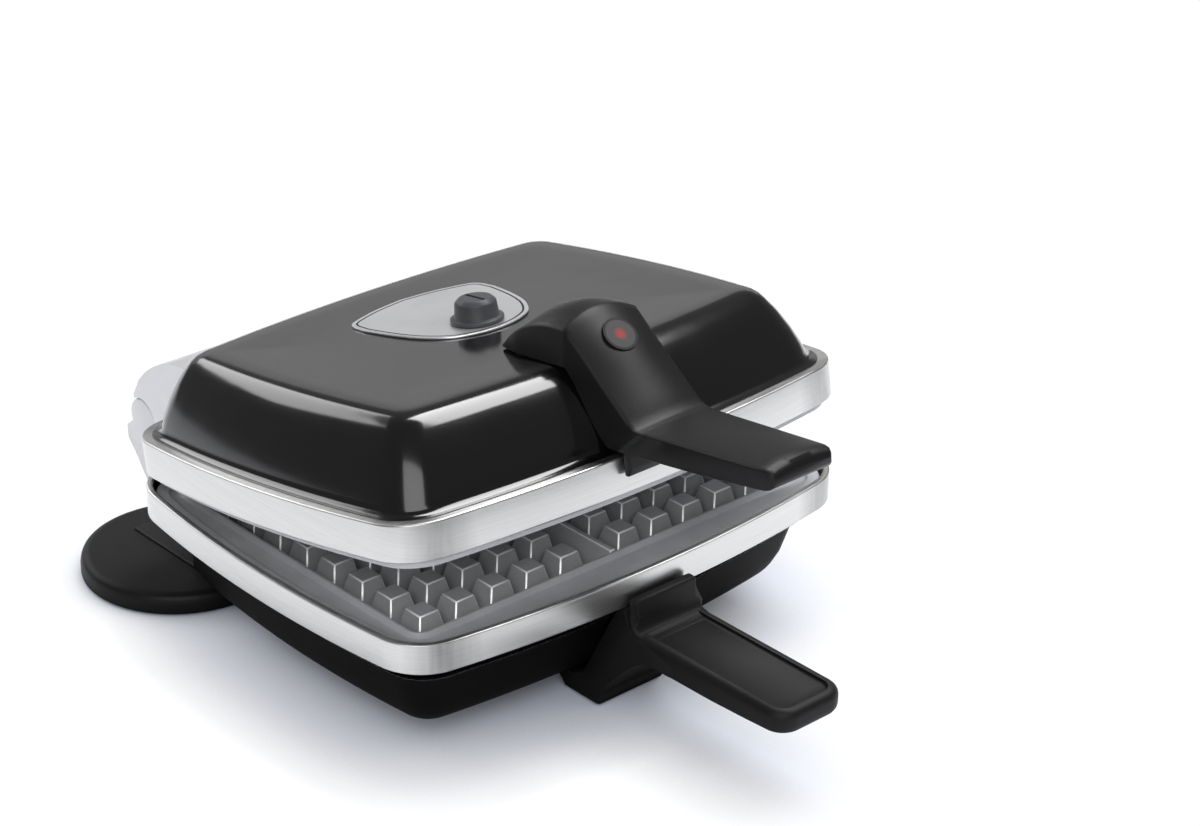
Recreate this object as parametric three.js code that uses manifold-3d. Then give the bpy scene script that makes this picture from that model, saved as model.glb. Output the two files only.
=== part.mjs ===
// Waffle maker: a hinged lid and a base, each a stainless ring round a cast grid plate.
// Millimetres, +Z up, X along the hinge, handles towards -Y, standing on z = 0.
import * as THREE from 'three';
import { mergeVertices } from 'three/addons/utils/BufferGeometryUtils.js';
import Module from 'manifold-3d';

const wasm = await Module();
wasm.setup();

// Driving dimensions

// clearances between pieces
const fitGap = 0.3;
const guardClearance = 1.2;
const overrun = 20;

// plan outline of both trim rings
const ringWidth = 280;
const ringDepth = 234;
const ringCornerRadius = 26;
const ringFrontBulge = 13.5;
const ringEndBulge = 10.6;
const leastCornerRadius = 4;
const pressedCornerShare = 0.5;

// trim rings
const ringBottomHeight = 60;
const lowerRingHeight = 15;
const upperRingHeight = 17.6;
const closedGap = 0.5;
const ringWall = 1.2;
const ringRimWidth = 3.2;
const ringRimRound = 0.8;
const ringRimDepth = 2.1;
const ringShelfWidth = 5.6;

// lid hinge
const hingeAxisBehindRing = 20.1;
const hingeAxisAboveRing = 26;
const lidRestAngle = 9.4;

// base pan
const panWall = 1.5;
const panRimTop = 6;
const panRimWidth = 9;
const panStepInset = 3.2;
const panStepDrop = 0.6;
const panSlopeInset = 23.7;
const panSlopeDrop = 34.4;
const panRound = 25.1;

// grid plates, end margins at the left and right, long margins at the front and back
const plateEdgeInset = 4.4;
const plateSkirtWidth = 2.8;
const plateRimDrop = 4.8;
const plateBeadInset = 9.7;
const plateBeadStep = 0.9;
const plateGutterInset = 13;
const plateGutterDepth = 1.6;
const plateLipRise = 0.3;
const plateLipWidth = 1.2;
const plateLipSlope = 2.4;
const cavityEndMargin = 24.2;
const cavityLongMargin = 28.3;
const cavityCornerRadius = 6;
const cavityDraft = 3.8;
const cavityDrop = 13.2;
const plateThickness = 4;
const partingGap = 0.5;

// grid blocks
const blockColumnsPerWell = 5;
const blockRows = 8;
const blockFootShare = 0.81;
const blockTopShare = 0.517;
const blockEndMargin = 3.9;
const blockLongMargin = 4.85;
const blockTopDrop = 0.3;
const middleGap = 25;
const dividerFoot = 9.5;
const dividerTop = 3;

// heating elements and reflectors
const elementDiameter = 7;
const elementEndMargin = 29.8;
const elementLongMargin = 30.7;
const elementCornerRadius = 24;
const elementTailGap = 22;
const reflectorWall = 0.8;
const reflectorFloorInset = 26;
const reflectorSlope = 4.6;
const plateSpringDiameter = 8;
const plateSpringOffset = 52;

// cover
const coverWall = 1.2;
const coverFlangeInset = 4.6;
const coverFootInset = 7.2;
const coverHeight = 36.6;
const coverTopInset = 31.5;
const coverDish = 0.8;
const coverTopShift = 1.5;
const coverSideShares = [
  [0, 0.03], [0.05, 0.09], [0.16, 0.24], [0.72, 0.86], [0.84, 0.955], [0.95, 0.99], [1.06, 1],
];

// badge, half its outline in shares of the half width and of the reach behind the knob
const badgeHalfWidth = 39.7;
const badgeBackFromKnob = 58.8;
const badgeThickness = 0.8;
const badgeOutlineShares = [
  [0, 1], [0.453, 0.954], [0.856, 0.861], [0.977, 0.776], [1, 0.648], [1, 0.563],
  [0.917, 0.281], [0.796, 0.041], [0.605, -0.148], [0.202, -0.27], [0, -0.293],
];

// thermostat
const knobDiameter = 25.6;
const knobFlangeThickness = 2;
const knobCapDiameter = 20.8;
const knobHeight = 11;
const knobChamfer = 2;
const knobTaper = 0.6;
const knobSlotWidth = 1.8;
const knobSlotDepth = 1.4;
const knobSlotLength = 14;
const shaftDiameter = 6;
const shaftLength = 12;
const thermostatDiameter = 28;
const thermostatHeight = 16;

// upper handle, side shape from the hinge ring's centre and the upper ring's top
const headBackFromFront = 72;
const headTopAboveCover = 18.4;
const crestFromFront = 28.5;
const valleyBeyondFront = 11.5;
const valleyAboveRing = 14.7;
const upperTipBeyondFront = 95;
const upperTipAboveRing = 12.6;
const upperTipThickness = 9.2;
const upperBladeThickness = 11.8;
const upperHandleHalfWidth = 21.7;
const upperHandleBackHalfWidth = 24.3;
const upperTipHalfWidth = 18.8;
const upperHandleCrown = 4.5;
const upperTipCrown = 1.2;
const upperGuardDrop = 9;
const upperGuardThickness = 4.4;
const upperGuardHalfWidth = 19.5;

// pilot lamp
const lensDiameter = 17;
const lensThickness = 3.2;
const lensProud = 0.5;
const lensFromCrest = 14;
const lampDiameter = 6;
const lampLength = 5;

// lower handle
const lowerHandleHalfWidth = 20.7;
const lowerBladeTopDrop = 9.3;
const lowerBladeThickness = 12.4;
const lowerTipThickness = 10.8;
const lowerTipBeyondFront = 101.5;
const lowerTipCornerRadius = 8;
const lowerTipRound = 5;
const lowerPanelMargin = 3.2;
const lowerPanelDepth = 2;
const lowerGuardHeight = 5.6;
const lowerGuardThickness = 4.8;
const lowerGuardHalfWidth = 18.5;
const lowerGuardFootRun = 5;

// front foot
const frontFootBack = 48.5;
const frontFootFront = 16.5;
const frontSoleBack = 42;
const frontFootThickness = 13;
const frontFootRound = 5;
const strutTopBeyondFront = 8;
const strutTopDrop = 25.5;

// rubber pads
const padThickness = 1.2;
const padRecess = 0.9;
const padMargin = 4;
const rearPadDiameter = 78;
const rearPadBore = 40;

// rear feet
const rearFootDiameter = 100;
const rearFootThickness = 12;
const rearFootRound = 5;
const rearFootInsideEnd = 51;
const rearFootBehindRing = 15.5;
const pillarInsideEnd = 42.5;
const pillarWidth = 27;
const pillarFrontInsideRing = 33;
const rearStepRaise = 1.2;
const rearStepBehindRing = 45;

// hinges
const hingeInsideEnd = 35.5;
const hingeWidth = 41;
const hingeLugRadius = 10;
const hingeMiddleLugRadius = 9.2;
const hingeMiddleLugWidth = 11.4;
const hingeMiddleSweepRadius = 12.4;
const hingeSeatGap = 0.4;
const hingePinDiameter = 5;
const hingePinCover = 3.5;
const upperHingeHeight = 33.6;
const upperHingeReach = 47;
const upperHingeShares = [
  [0.097, 0.345], [-0.051, 0.604], [-0.2, 0.76], [-0.351, 0.872], [-0.53, 0.967], [-0.65, 1],
];
const lowerHingeReach = 45;
const lowerHingeDrop = 49;
const lowerHingeShares = [
  [0.32, -0.171], [0.31, -0.314], [0.169, -0.457], [0.04, -0.62], [-0.2, -0.86], [-0.56, -0.96],
];
const hingeShelfUnderLid = 0.9;

// screws and gland
const screwDiameter = 4;
const screwHeadDiameter = 7;
const screwHeadThickness = 2.4;
const screwBite = 7;
const screwSpacing = 22;
const lowerScrewFromFlat = 4;
const glandDiameter = 11;
const glandFlangeDiameter = 15.5;
const glandFlangeThickness = 2.2;
const glandBore = 6.5;
const glandLength = 8;
const glandDrop = 19.5;

// facets
const longArcSteps = 3;
const cornerSteps = 4;
const endArcSteps = 2;
const panRoundSteps = 3;
const roundSides = 24;
const discSides = 32;
const rodSides = 8;
const elementSides = 6;
const elementSteps = 40;

// finishes
const finishes = {
  glossBlack: { color: 0x0b0b0c, roughness: 0.12, metalness: 0 },
  panBlack: { color: 0x0d0d0e, roughness: 0.3, metalness: 0 },
  stainless: { color: 0xc9c9c7, roughness: 0.3, metalness: 1 },
  castAluminium: { color: 0x8a8b8c, roughness: 0.42, metalness: 1 },
  brightAluminium: { color: 0xe6e6e8, roughness: 0.3, metalness: 1 },
  blackPlastic: { color: 0x17181a, roughness: 0.5, metalness: 0 },
  greyPlastic: { color: 0x4a4b4f, roughness: 0.5, metalness: 0 },
  rubber: { color: 0x101010, roughness: 0.9, metalness: 0 },
  steel: { color: 0x9d9d9f, roughness: 0.35, metalness: 1 },
  sheathedSteel: { color: 0x5b5854, roughness: 0.55, metalness: 1 },
  lampGrey: { color: 0x6c6a6c, roughness: 0.2, metalness: 0 },
  lampRed: { color: 0xb03030, roughness: 0.3, metalness: 0 },
};

// Places worked out from the sizes

const ringBottom = ringBottomHeight;
const lowerRingTop = ringBottom + lowerRingHeight;
const upperRingBottom = lowerRingTop + closedGap;
const upperRingTop = upperRingBottom + upperRingHeight;
const ringFront = -ringDepth / 2;
const ringBack = ringDepth / 2;
const ringEnd = ringWidth / 2;
const hingeOuterSideways = ringEnd - hingeInsideEnd;
const rearFootSideways = ringEnd - rearFootInsideEnd;
const rearFootBehindCentre = ringBack + rearFootBehindRing;
const pillarOuterSideways = ringEnd - pillarInsideEnd;
const pillarFrontBehindCentre = ringBack - pillarFrontInsideRing;
const rearStepBehindCentre = ringBack + rearStepBehindRing;
const axisY = ringBack + hingeAxisBehindRing;
const axisZ = ringBottom + hingeAxisAboveRing;
const cavityWidth = ringWidth - 2 * cavityEndMargin;
const cavityDepthAlongY = ringDepth - 2 * cavityLongMargin;
const elementHalfWidth = cavityWidth / 2 - elementEndMargin;
const elementHalfDepth = cavityDepthAlongY / 2 - elementLongMargin;
const blockRun = cavityWidth / 2 - cavityDraft - blockEndMargin - middleGap / 2;
const columnPitch = blockRun / (blockColumnsPerWell - 1 + (blockTopShare + blockFootShare) / 2);
const rowRun = cavityDepthAlongY / 2 - cavityDraft - blockLongMargin;
const rowPitch = 2 * rowRun / (blockRows - 1 + blockFootShare);
const plateRimTop = lowerRingTop - plateRimDrop;
const plateLipTop = plateRimTop + plateLipRise;
const partingHeight = plateLipTop + partingGap / 2;
const cavityFloor = plateLipTop - cavityDrop;
const plateBottom = cavityFloor - plateThickness;
const panRimHeight = ringBottom + panRimTop;
const panSlopeAngle = Math.atan2(panSlopeInset - panStepInset, panSlopeDrop - panStepDrop);
const panArcInset = panSlopeInset + panRound * Math.cos(panSlopeAngle);
const panArcHeight = ringBottom - panSlopeDrop + panRound * Math.sin(panSlopeAngle);
const panFloor = panArcHeight - panRound;
const coverBottom = upperRingTop + fitGap;
const coverTop = coverBottom + coverHeight;
const coverMiddle = coverTop - coverDish;
const badgeBottom = coverMiddle + fitGap;
const badgeTop = badgeBottom + badgeThickness;
const knobBottom = badgeTop + fitGap;
const elementHeight = plateBottom - fitGap - elementDiameter / 2;
const reflectorFloor = elementHeight - elementDiameter / 2 - fitGap;

// Shape helpers

// Points round a bulged rectangle: shallow arcs on the sides, one radius on the corners.
function outlineLoop({ width, depth, cornerRadius, frontBulge, endBulge }, inset = 0, cornerShare = 1) {
  const halfWidth = width / 2;
  const halfDepth = depth / 2;
  const longRadius = (halfWidth ** 2 + frontBulge ** 2) / (2 * frontBulge);
  const endRadius = (halfDepth ** 2 + endBulge ** 2) / (2 * endBulge);
  const corner = Math.max(cornerRadius - inset * cornerShare, leastCornerRadius);
  const longCentre = new THREE.Vector2(0, halfDepth - longRadius);
  const endCentre = new THREE.Vector2(halfWidth - endRadius, 0);
  const span = endCentre.clone().sub(longCentre);
  const distance = span.length();
  const reachLong = longRadius - inset - corner;
  const reachEnd = endRadius - inset - corner;
  const along = (reachLong ** 2 - reachEnd ** 2 + distance ** 2) / (2 * distance);
  const across = Math.sqrt(reachLong ** 2 - along ** 2);
  const unit = span.clone().normalize();
  const normal = new THREE.Vector2(unit.y, -unit.x);
  const cornerCentre = longCentre.clone().addScaledVector(unit, along).addScaledVector(normal, across);
  const longAngle = cornerCentre.clone().sub(longCentre).angle();
  const endAngle = cornerCentre.clone().sub(endCentre).angle();
  const quarter = [];
  const arc = (centre, radius, from, to, steps, last) => {
    for (let step = 0; step < steps + last; step += 1) {
      const angle = from + (to - from) * step / steps;
      quarter.push([centre.x + radius * Math.cos(angle), centre.y + radius * Math.sin(angle)]);
    }
  };
  arc(endCentre, endRadius - inset, 0, endAngle, endArcSteps, 0);
  arc(cornerCentre, corner, endAngle, longAngle, cornerSteps, 0);
  arc(longCentre, longRadius - inset, longAngle, Math.PI / 2, longArcSteps, 1);
  const backLeft = quarter.slice(0, -1).reverse().map(([x, y]) => [-x, y]);
  const back = [...quarter, ...backLeft];
  const front = back.slice(1, -1).reverse().map(([x, y]) => [x, -y]);
  return [...back, ...front];
}

const ringShape = {
  width: ringWidth,
  depth: ringDepth,
  cornerRadius: ringCornerRadius,
  frontBulge: ringFrontBulge,
  endBulge: ringEndBulge,
};

function insetLoop(inset, height, shift = 0) {
  return outlineLoop(ringShape, inset).map(([x, y]) => [x, y + shift, height]);
}

// The same for deep-pressed sheet, whose corners stay rounder as it steps in.
function pressedLoop(inset, height, shift = 0) {
  return outlineLoop(ringShape, inset, pressedCornerShare).map(([x, y]) => [x, y + shift, height]);
}

// A near-straight rectangle with as many points as the bulged one.
function cavityLoop(margin, height) {
  const shape = {
    width: cavityWidth,
    depth: cavityDepthAlongY,
    cornerRadius: cavityCornerRadius,
    frontBulge: plateLipRise,
    endBulge: plateLipRise,
  };
  return outlineLoop(shape, margin).map(([x, y]) => [x, y, height]);
}

// Joins loops of equal length with quads; the ends meet, or are closed by fans.
function loft(loops, endsMeet = false) {
  const count = loops[0].length;
  const positions = loops.flat(2);
  const index = [];
  const bands = endsMeet ? loops.length : loops.length - 1;
  for (let band = 0; band < bands; band += 1) {
    const lower = band * count;
    const upper = (band + 1) % loops.length * count;
    for (let step = 0; step < count; step += 1) {
      const next = (step + 1) % count;
      index.push(lower + step, lower + next, upper + next);
      index.push(lower + step, upper + next, upper + step);
    }
  }
  if (!endsMeet) {
    const last = (loops.length - 1) * count;
    for (const [loop, offset, turned] of [[loops[0], 0, true], [loops.at(-1), last, false]]) {
      const centre = positions.length / 3;
      for (let axis = 0; axis < 3; axis += 1) {
        positions.push(loop.reduce((sum, point) => sum + point[axis], 0) / count);
      }
      for (let step = 0; step < count; step += 1) {
        const next = (step + 1) % count;
        index.push(centre, offset + (turned ? next : step), offset + (turned ? step : next));
      }
    }
  }
  const geometry = new THREE.BufferGeometry();
  geometry.setAttribute('position', new THREE.Float32BufferAttribute(positions, 3));
  geometry.setIndex(index);
  return faceOutward(geometry);
}

// Turns the faces over where the enclosed volume comes out negative.
function faceOutward(geometry) {
  const position = geometry.getAttribute('position');
  const index = geometry.getIndex();
  const [a, b, c] = [new THREE.Vector3(), new THREE.Vector3(), new THREE.Vector3()];
  let volume = 0;
  for (let corner = 0; corner < index.count; corner += 3) {
    a.fromBufferAttribute(position, index.getX(corner));
    b.fromBufferAttribute(position, index.getX(corner + 1));
    c.fromBufferAttribute(position, index.getX(corner + 2));
    volume += a.dot(b.cross(c));
  }
  if (volume < 0) {
    const order = index.array;
    for (let corner = 0; corner < order.length; corner += 3) {
      [order[corner + 1], order[corner + 2]] = [order[corner + 2], order[corner + 1]];
    }
  }
  return geometry;
}

// Drops the normals, so that seams and points on an axis merge.
function solidLike(geometry) {
  const bare = geometry.clone();
  bare.deleteAttribute('normal');
  bare.deleteAttribute('uv');
  return mergeVertices(bare);
}

function solidOf(geometry) {
  const merged = solidLike(geometry);
  return new wasm.Manifold(new wasm.Mesh({
    numProp: 3,
    vertProperties: new Float32Array(merged.getAttribute('position').array),
    triVerts: new Uint32Array(merged.getIndex().array),
  }));
}

function geometryOf(solid) {
  const mesh = solid.getMesh();
  const geometry = new THREE.BufferGeometry();
  geometry.setAttribute('position', new THREE.BufferAttribute(new Float32Array(mesh.vertProperties), 3));
  geometry.setIndex(new THREE.BufferAttribute(new Uint32Array(mesh.triVerts), 1));
  return geometry;
}

function join(...geometries) {
  return geometryOf(geometries.map(solidOf).reduce((whole, piece) => whole.add(piece)));
}

function cut(body, ...tools) {
  return geometryOf(tools.map(solidOf).reduce((rest, tool) => rest.subtract(tool), solidOf(body)));
}

const common = (first, second) => geometryOf(solidOf(first).intersect(solidOf(second)));
const moved = (geometry, x, y, z) => geometry.clone().translate(x, y, z);

function mirrored(geometry) {
  return faceOutward(solidLike(geometry).scale(-1, 1, 1));
}

function extruded(shape, depth) {
  return new THREE.ExtrudeGeometry(shape, { depth, bevelEnabled: false, curveSegments: cornerSteps });
}

// Extrudes an outline given in (y, z) along X.
function prismAlongX(outline, from, to) {
  const shape = new THREE.Shape(outline.map(([y, z]) => new THREE.Vector2(y, z)));
  const geometry = extruded(shape, to - from);
  const axes = new THREE.Matrix4().makeBasis(
    new THREE.Vector3(0, 1, 0),
    new THREE.Vector3(0, 0, 1),
    new THREE.Vector3(1, 0, 0),
  );
  return geometry.applyMatrix4(axes).translate(from, 0, 0);
}

// Extrudes a shape in plan upward.
function prismUp(shape, bottom, top) {
  return extruded(shape, top - bottom).translate(0, 0, bottom);
}

// A cylinder between two points.
function rod(diameter, from, to, sides = roundSides) {
  const start = new THREE.Vector3(...from);
  const span = new THREE.Vector3(...to).sub(start);
  const geometry = new THREE.CylinderGeometry(diameter / 2, diameter / 2, span.length(), sides);
  const upright = new THREE.Vector3(0, 1, 0);
  const turn = new THREE.Quaternion().setFromUnitVectors(upright, span.clone().normalize());
  return geometry.applyQuaternion(turn).translate(...start.addScaledVector(span, 0.5).toArray());
}

function turned(profile, x, y, sides = roundSides) {
  const points = profile.map(([radius, height]) => new THREE.Vector2(radius, height));
  const geometry = solidLike(new THREE.LatheGeometry(points, sides).rotateX(Math.PI / 2));
  return faceOutward(geometry).translate(x, y, 0);
}

// Moves an open polyline to its left by one distance, to make a wall's other face.
function offsetProfile(points, distance) {
  return points.map((point, place) => {
    const before = new THREE.Vector2(...points[Math.max(place - 1, 0)]);
    const after = new THREE.Vector2(...points[Math.min(place + 1, points.length - 1)]);
    const here = new THREE.Vector2(...point);
    const into = here.clone().sub(before).normalize();
    const out = after.clone().sub(here).normalize();
    const along = into.add(out).normalize();
    return [here.x - along.y * distance, here.y + along.x * distance];
  });
}

// Groups

const frontmost = ringFront - Math.max(lowerTipBeyondFront, upperTipBeyondFront);
const rearmost = rearFootBehindCentre + rearFootDiameter / 2;
const part = new THREE.Group();
part.position.y = -(frontmost + rearmost) / 2;
const base = new THREE.Group();
const lid = new THREE.Group();
lid.position.set(0, axisY, axisZ);
lid.rotation.x = THREE.MathUtils.degToRad(-lidRestAngle);
part.add(base, lid);

function place(name, geometry, finish, parent = base) {
  const mesh = new THREE.Mesh(geometry, new THREE.MeshStandardMaterial(finishes[finish]));
  mesh.name = name;
  if (parent === lid) mesh.position.set(0, -axisY, -axisZ);
  parent.add(mesh);
}

// Solids that neighbouring pieces are cut by

// The pan's side: a straight flank, then an arc that runs out level.
const panSide = [[panStepInset, ringBottom - panStepDrop]];
for (let step = 0; step <= panRoundSteps; step += 1) {
  const angle = panSlopeAngle + (Math.PI / 2 - panSlopeAngle) * step / panRoundSteps;
  panSide.push([panArcInset - panRound * Math.cos(angle), panArcHeight - panRound * Math.sin(angle)]);
}

const coverRun = coverTopInset - coverFootInset;
const coverSide = coverSideShares.map(([run, rise]) => [
  coverFootInset + coverRun * run,
  coverBottom + coverHeight * rise,
]);

const coverShiftAt = (height) => coverTopShift * Math.max(height - coverBottom, 0) / coverHeight;
const coverLoop = ([inset, height]) => pressedLoop(inset, height, coverShiftAt(height));

// The base's outside, grown by the fit gap: the ring above, the pan below.
const baseEnvelope = solidOf(loft([
  insetLoop(-fitGap, lowerRingTop + fitGap),
  insetLoop(-fitGap, ringBottom - fitGap),
  ...panSide.map(([inset, height]) => pressedLoop(inset - fitGap, height - fitGap)),
]));

// The lid's outside, grown the same way.
const lidEnvelope = solidOf(loft([
  insetLoop(-fitGap, upperRingBottom - fitGap),
  insetLoop(-fitGap, upperRingTop + fitGap),
  insetLoop(coverFlangeInset - 2 * fitGap, upperRingTop + fitGap),
  insetLoop(coverFlangeInset - fitGap, coverSide[0][1] + fitGap),
  ...coverSide.map(([inset, height]) => coverLoop([inset - 2 * fitGap, height + fitGap])),
]));

// Base pan, with the bush's hole and the screw holes

const glandHeight = ringBottom - glandDrop;
const panShareAtGland = (glandDrop - panStepDrop) / (panSlopeDrop - panStepDrop);
const panInsetAtGland = panStepInset + (panSlopeInset - panStepInset) * panShareAtGland;
const glandY = ringDepth / 2 - panInsetAtGland;
const glandOut = [0, Math.cos(panSlopeAngle), -Math.sin(panSlopeAngle)];
const alongGland = (distance) => [0, glandY + glandOut[1] * distance, glandHeight + glandOut[2] * distance];

const lowerScrewY = ringFront + panArcInset - lowerScrewFromFlat;
const lowerScrewXs = [-screwSpacing / 2, screwSpacing / 2];

function buildBaseShell() {
  const outer = [...panSide].reverse();
  const inner = offsetProfile(outer, -panWall).reverse();
  const rimOuter = ringWall + fitGap;
  const rimUnder = panRimHeight - panWall;
  const shell = loft([
    ...outer.map(([inset, height]) => pressedLoop(inset, height)),
    insetLoop(rimOuter, ringBottom + fitGap),
    insetLoop(rimOuter, panRimHeight),
    insetLoop(panRimWidth, panRimHeight),
    insetLoop(panRimWidth, rimUnder),
    insetLoop(rimOuter + panWall, rimUnder),
    insetLoop(rimOuter + panWall, ringBottom + fitGap),
    ...inner.slice(1).map(([inset, height]) => pressedLoop(inset, height)),
  ]);
  const holes = lowerScrewXs.map((x) => rod(
    screwDiameter + 2 * fitGap,
    [x, lowerScrewY, panFloor - overrun],
    [x, lowerScrewY, panFloor + overrun],
  ));
  const glandHole = rod(glandDiameter + 2 * fitGap, alongGland(-overrun / 2), alongGland(overrun / 2));
  place('base_shell', cut(shell, ...holes, glandHole), 'panBlack');
}

function buildCordGland() {
  const bush = join(
    rod(glandDiameter, alongGland(fitGap * 2 - glandLength / 2), alongGland(glandFlangeThickness)),
    rod(glandFlangeDiameter, alongGland(fitGap * 2), alongGland(fitGap * 2 + glandFlangeThickness)),
  );
  const bore = rod(glandBore, alongGland(-overrun), alongGland(overrun));
  place('cord_gland', cut(bush, bore), 'rubber');
}

// Trim rings: a band with a rolled rim towards the plate

function buildLowerRing() {
  place('lower_trim_ring', loft([
    insetLoop(0, ringBottom),
    insetLoop(0, lowerRingTop - ringRimRound),
    insetLoop(ringRimRound, lowerRingTop),
    insetLoop(ringRimWidth - ringRimRound, lowerRingTop),
    insetLoop(ringRimWidth, lowerRingTop - ringRimRound),
    insetLoop(ringRimWidth, lowerRingTop - ringRimDepth),
    insetLoop(ringWall, lowerRingTop - ringRimDepth - ringWall),
    insetLoop(ringWall, ringBottom),
  ], true), 'stainless');
}

function buildUpperRing() {
  place('upper_trim_ring', loft([
    insetLoop(0, upperRingTop - ringRimRound),
    insetLoop(0, upperRingBottom + ringRimRound),
    insetLoop(ringRimRound, upperRingBottom),
    insetLoop(ringRimWidth - ringRimRound, upperRingBottom),
    insetLoop(ringRimWidth, upperRingBottom + ringRimRound),
    insetLoop(ringRimWidth, upperRingBottom + ringRimDepth),
    insetLoop(ringWall, upperRingBottom + ringRimDepth + ringWall),
    insetLoop(ringWall, upperRingTop - ringRimDepth),
    insetLoop(ringShelfWidth, upperRingTop - ringRimDepth),
    insetLoop(ringShelfWidth, upperRingTop),
    insetLoop(ringRimRound, upperRingTop),
  ], true), 'stainless', lid);
}

// Grid plates: one shape, turned over for the lid

function frustum(footWidth, footDepth, topWidth, topDepth, bottom, top) {
  const corners = [[-1, -1], [1, -1], [1, 1], [-1, 1]];
  return loft([
    corners.map(([x, y]) => [x * footWidth / 2, y * footDepth / 2, bottom]),
    corners.map(([x, y]) => [x * topWidth / 2, y * topDepth / 2, top]),
  ]);
}

function plateGeometry() {
  const skirtBottom = panRimHeight + fitGap;
  const gutterFloor = plateRimTop - plateGutterDepth;
  const underGutter = gutterFloor - plateThickness / 2;
  const pan = loft([
    cavityLoop(cavityDraft, cavityFloor),
    cavityLoop(plateLipRise, plateLipTop - plateLipRise),
    cavityLoop(0, plateLipTop),
    cavityLoop(-plateLipWidth, plateLipTop),
    cavityLoop(-plateLipWidth - plateLipSlope, gutterFloor),
    insetLoop(plateGutterInset, gutterFloor),
    insetLoop(plateBeadInset + plateBeadStep, plateRimTop - plateBeadStep),
    insetLoop(plateBeadInset, plateRimTop),
    insetLoop(plateEdgeInset, plateRimTop),
    insetLoop(plateEdgeInset, skirtBottom),
    insetLoop(plateEdgeInset + plateSkirtWidth, skirtBottom),
    insetLoop(plateGutterInset, underGutter),
    cavityLoop(-plateLipWidth - plateLipSlope, underGutter),
    cavityLoop(-plateLipWidth, underGutter - plateLipSlope),
    cavityLoop(cavityDraft - plateThickness, plateBottom),
  ]);
  const sink = plateThickness / 4;
  const footShare = blockFootShare + (blockFootShare - blockTopShare) * sink / cavityDrop;
  const dividerLength = cavityDepthAlongY - cavityDraft;
  const blockSummit = plateLipTop - blockTopDrop;
  const root = cavityFloor - sink;
  const divider = frustum(dividerFoot, dividerLength, dividerTop, dividerLength, root, blockSummit);
  const block = frustum(
    columnPitch * footShare, rowPitch * footShare,
    columnPitch * blockTopShare, rowPitch * blockTopShare,
    root, blockSummit,
  );
  let solid = solidOf(pan).add(solidOf(divider));
  for (let column = 0; column < blockColumnsPerWell; column += 1) {
    const x = middleGap / 2 + columnPitch * (blockTopShare / 2 + column);
    for (let row = 0; row < blockRows; row += 1) {
      const y = (row - (blockRows - 1) / 2) * rowPitch;
      solid = solid.add(solidOf(moved(block, x, y, 0))).add(solidOf(moved(block, -x, y, 0)));
    }
  }
  return geometryOf(solid);
}

function turnedOver(geometry) {
  const copy = geometry.clone().translate(0, 0, -partingHeight);
  return faceOutward(copy.scale(1, 1, -1).translate(0, 0, partingHeight));
}

function buildPlates() {
  const plate = plateGeometry();
  place('lower_plate', plate, 'castAluminium');
  place('upper_plate', turnedOver(plate), 'castAluminium', lid);
}

// Tubular elements, their reflectors and the posts that hold the plates

function elementGeometry() {
  const path = new THREE.CurvePath();
  const right = elementHalfWidth;
  const back = elementHalfDepth;
  const tail = elementTailGap / 2;
  const corners = [
    [tail, back], [right, back], [right, -back],
    [-right, -back], [-right, back], [-tail, back],
  ];
  const point = ([x, y]) => new THREE.Vector3(x, y, elementHeight);
  let from = point(corners[0]);
  for (let place = 1; place < corners.length - 1; place += 1) {
    const here = point(corners[place]);
    const before = point(corners[place - 1]).sub(here).setLength(elementCornerRadius).add(here);
    const after = point(corners[place + 1]).sub(here).setLength(elementCornerRadius).add(here);
    path.add(new THREE.LineCurve3(from, before));
    path.add(new THREE.QuadraticBezierCurve3(before, here, after));
    from = after;
  }
  path.add(new THREE.LineCurve3(from, point(corners.at(-1))));
  const section = new THREE.Shape(Array.from({ length: elementSides }, (_, side) => {
    const angle = Math.PI * 2 * side / elementSides;
    return new THREE.Vector2(Math.cos(angle), Math.sin(angle)).multiplyScalar(elementDiameter / 2);
  }));
  return new THREE.ExtrudeGeometry(section, { steps: elementSteps, extrudePath: path });
}

function buildElements() {
  const element = solidLike(elementGeometry());
  place('lower_heating_element', element, 'sheathedSteel');
  place('upper_heating_element', turnedOver(element), 'sheathedSteel', lid);
}

function buildReflectors() {
  const rimTop = reflectorFloor + reflectorSlope;
  const wallShare = (ringBottom - panStepDrop - rimTop) / (panSlopeDrop - panStepDrop);
  const wallInset = panStepInset + (panSlopeInset - panStepInset) * wallShare;
  const rimInset = wallInset + panWall / Math.cos(panSlopeAngle) + fitGap;
  place('lower_reflector', loft([
    pressedLoop(reflectorFloorInset, reflectorFloor),
    pressedLoop(rimInset + reflectorWall, rimTop),
    pressedLoop(rimInset, rimTop),
    pressedLoop(rimInset + reflectorWall, rimTop - reflectorWall),
    pressedLoop(reflectorFloorInset, reflectorFloor - reflectorWall),
  ]), 'brightAluminium');

  const skirtTop = 2 * partingHeight - panRimHeight;
  const flangeTop = skirtTop + reflectorWall;
  const ceiling = 2 * partingHeight - reflectorFloor;
  const flangeOuter = ringRimWidth + fitGap;
  const wallFoot = panRimWidth;
  place('upper_reflector', loft([
    pressedLoop(reflectorFloorInset, ceiling),
    pressedLoop(wallFoot + reflectorSlope, ceiling),
    pressedLoop(wallFoot, flangeTop - reflectorWall),
    pressedLoop(flangeOuter, flangeTop - reflectorWall),
    pressedLoop(flangeOuter, flangeTop),
    pressedLoop(wallFoot - reflectorWall, flangeTop),
    pressedLoop(wallFoot - reflectorWall + reflectorSlope, ceiling + reflectorWall),
    pressedLoop(reflectorFloorInset, ceiling + reflectorWall),
  ]), 'brightAluminium', lid);
}

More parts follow.
